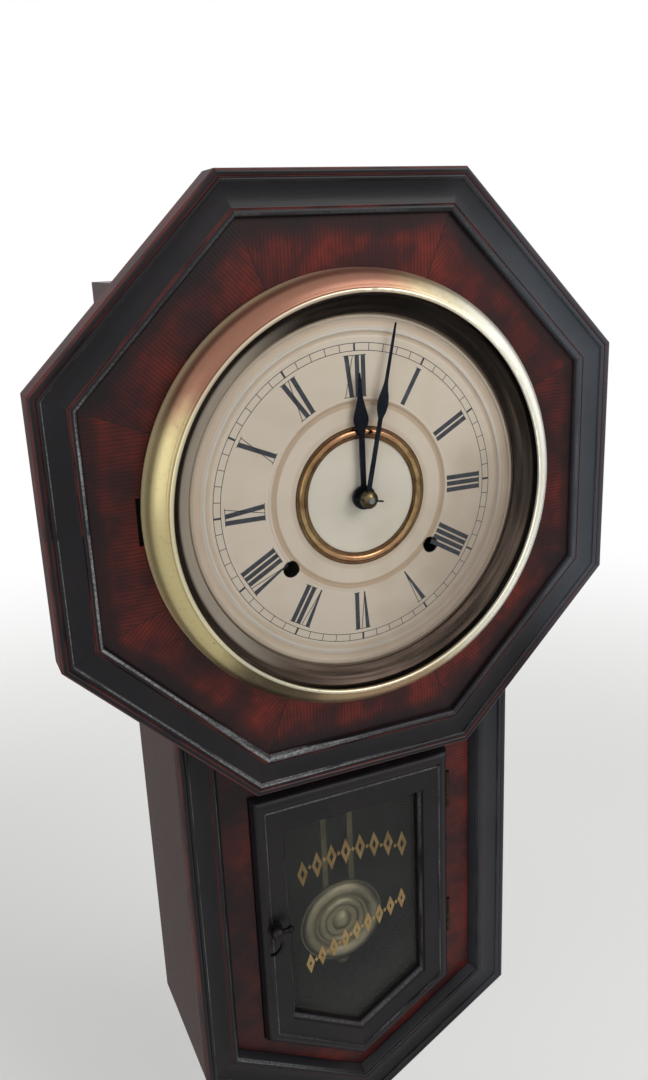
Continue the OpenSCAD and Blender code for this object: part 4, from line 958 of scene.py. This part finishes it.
# In metres, as lamps and floor stand in the scene
studio = {
    "floorLevel": -0.49,
    "floorRadius": 4.0,
    "floorSides": 96,
    "floorFade": (500, 1500),  # the floor turns white between these distances, in millimetres
    "floorTones": (paint(232, 232, 230), paint(238, 238, 236)),
    "floorRough": 0.7,
    "ambient": 0.55,
    "aim": (0, -0.06, -0.1),
    "lamps": (
        # name, place, width, power
        ("keyLamp", (0.75, -1.25, 0.95), 1.0, 13.0),
        ("fillLamp", (-1.3, -0.9, 0.3), 1.2, 5.0),
        ("backLamp", (0.2, 1.4, 0.7), 1.2, 5.0),
    ),
}


def layFloor():
    f = Finish("floorPaint")
    x, y, z = f.place()
    tone = f.noise(x * 0.002, z * 0.002, 1)
    color = f.mix(tone, *studio["floorTones"])
    seen = f.add("LightPath", out="Is Camera Ray") * f.ease(f.reach(x, z), *studio["floorFade"])
    white = f.add("Emission", None, {"Color": (1, 1, 1, 1), "Strength": 1.0})
    f.close(f.add("MixShader", None, {0: seen, 1: f.shader(color, studio["floorRough"]), 2: white}))
    sides, r, level = studio["floorSides"], studio["floorRadius"], studio["floorLevel"]
    turns = [fullTurn * i / sides for i in range(sides)]
    mesh = bpy.data.meshes.new("floor")
    mesh.from_pydata([(r * math.cos(t), r * math.sin(t), level) for t in turns], [], [list(range(sides))])
    mesh.materials.append(f.owner)
    floor = bpy.data.objects.new("floor", mesh)
    bpy.context.scene.collection.objects.link(floor)


def lightWorld():
    bpy.context.scene.world = bpy.data.worlds.new("studioWorld")
    f = Finish()
    camera = f.add("LightPath", out="Is Camera Ray")
    straight = f.top(camera, camera.other("Is Glossy Ray"), camera.other("Is Transmission Ray"))
    strength = straight + (1 - straight) * studio["ambient"]
    light = f.add("Background", None, {"Color": (1, 1, 1, 1), "Strength": strength})
    f.add("OutputWorld", None, {"Surface": light})


def hangLamps():
    for name, spot, size, power in studio["lamps"]:
        lamp = bpy.data.lights.new(name, "AREA")
        lamp.size = size
        lamp.energy = power
        holder = bpy.data.objects.new(name, lamp)
        holder.location = spot
        holder.rotation_mode = "QUATERNION"
        holder.rotation_quaternion = (Vector(studio["aim"]) - Vector(spot)).to_track_quat("-Z", "Y")
        holder.visible_camera = False
        bpy.context.scene.collection.objects.link(holder)


# Where the photograph was taken from, in metres, and the camera's own axes
cameraStand = {
    "place": (-0.19366, -0.50927, 0.11403),
    "right": (0.91271, -0.40648, -0.04171),
    "up": (0.15451, 0.24884, 0.95614),
    "back": (-0.37827, -0.87912, 0.28993),
    "lens": 32.018,
    "sensor": 36,
    "nearest": 0.01,
}


def setCamera():
    stand = cameraStand
    lens = bpy.data.cameras.new("camera")
    lens.sensor_width = stand["sensor"]
    lens.lens = stand["lens"]
    lens.clip_start = stand["nearest"]
    holder = bpy.data.objects.new("camera", lens)
    turn = Matrix((stand["right"], stand["up"], stand["back"])).transposed().to_4x4()
    holder.matrix_world = Matrix.Translation(stand["place"]) @ turn
    bpy.context.scene.collection.objects.link(holder)
    bpy.context.scene.camera = holder


print("floor, world, lamps and camera")
layFloor()
lightWorld()
hangLamps()
setCamera()
bpy.context.scene.view_settings.view_transform = "Standard"
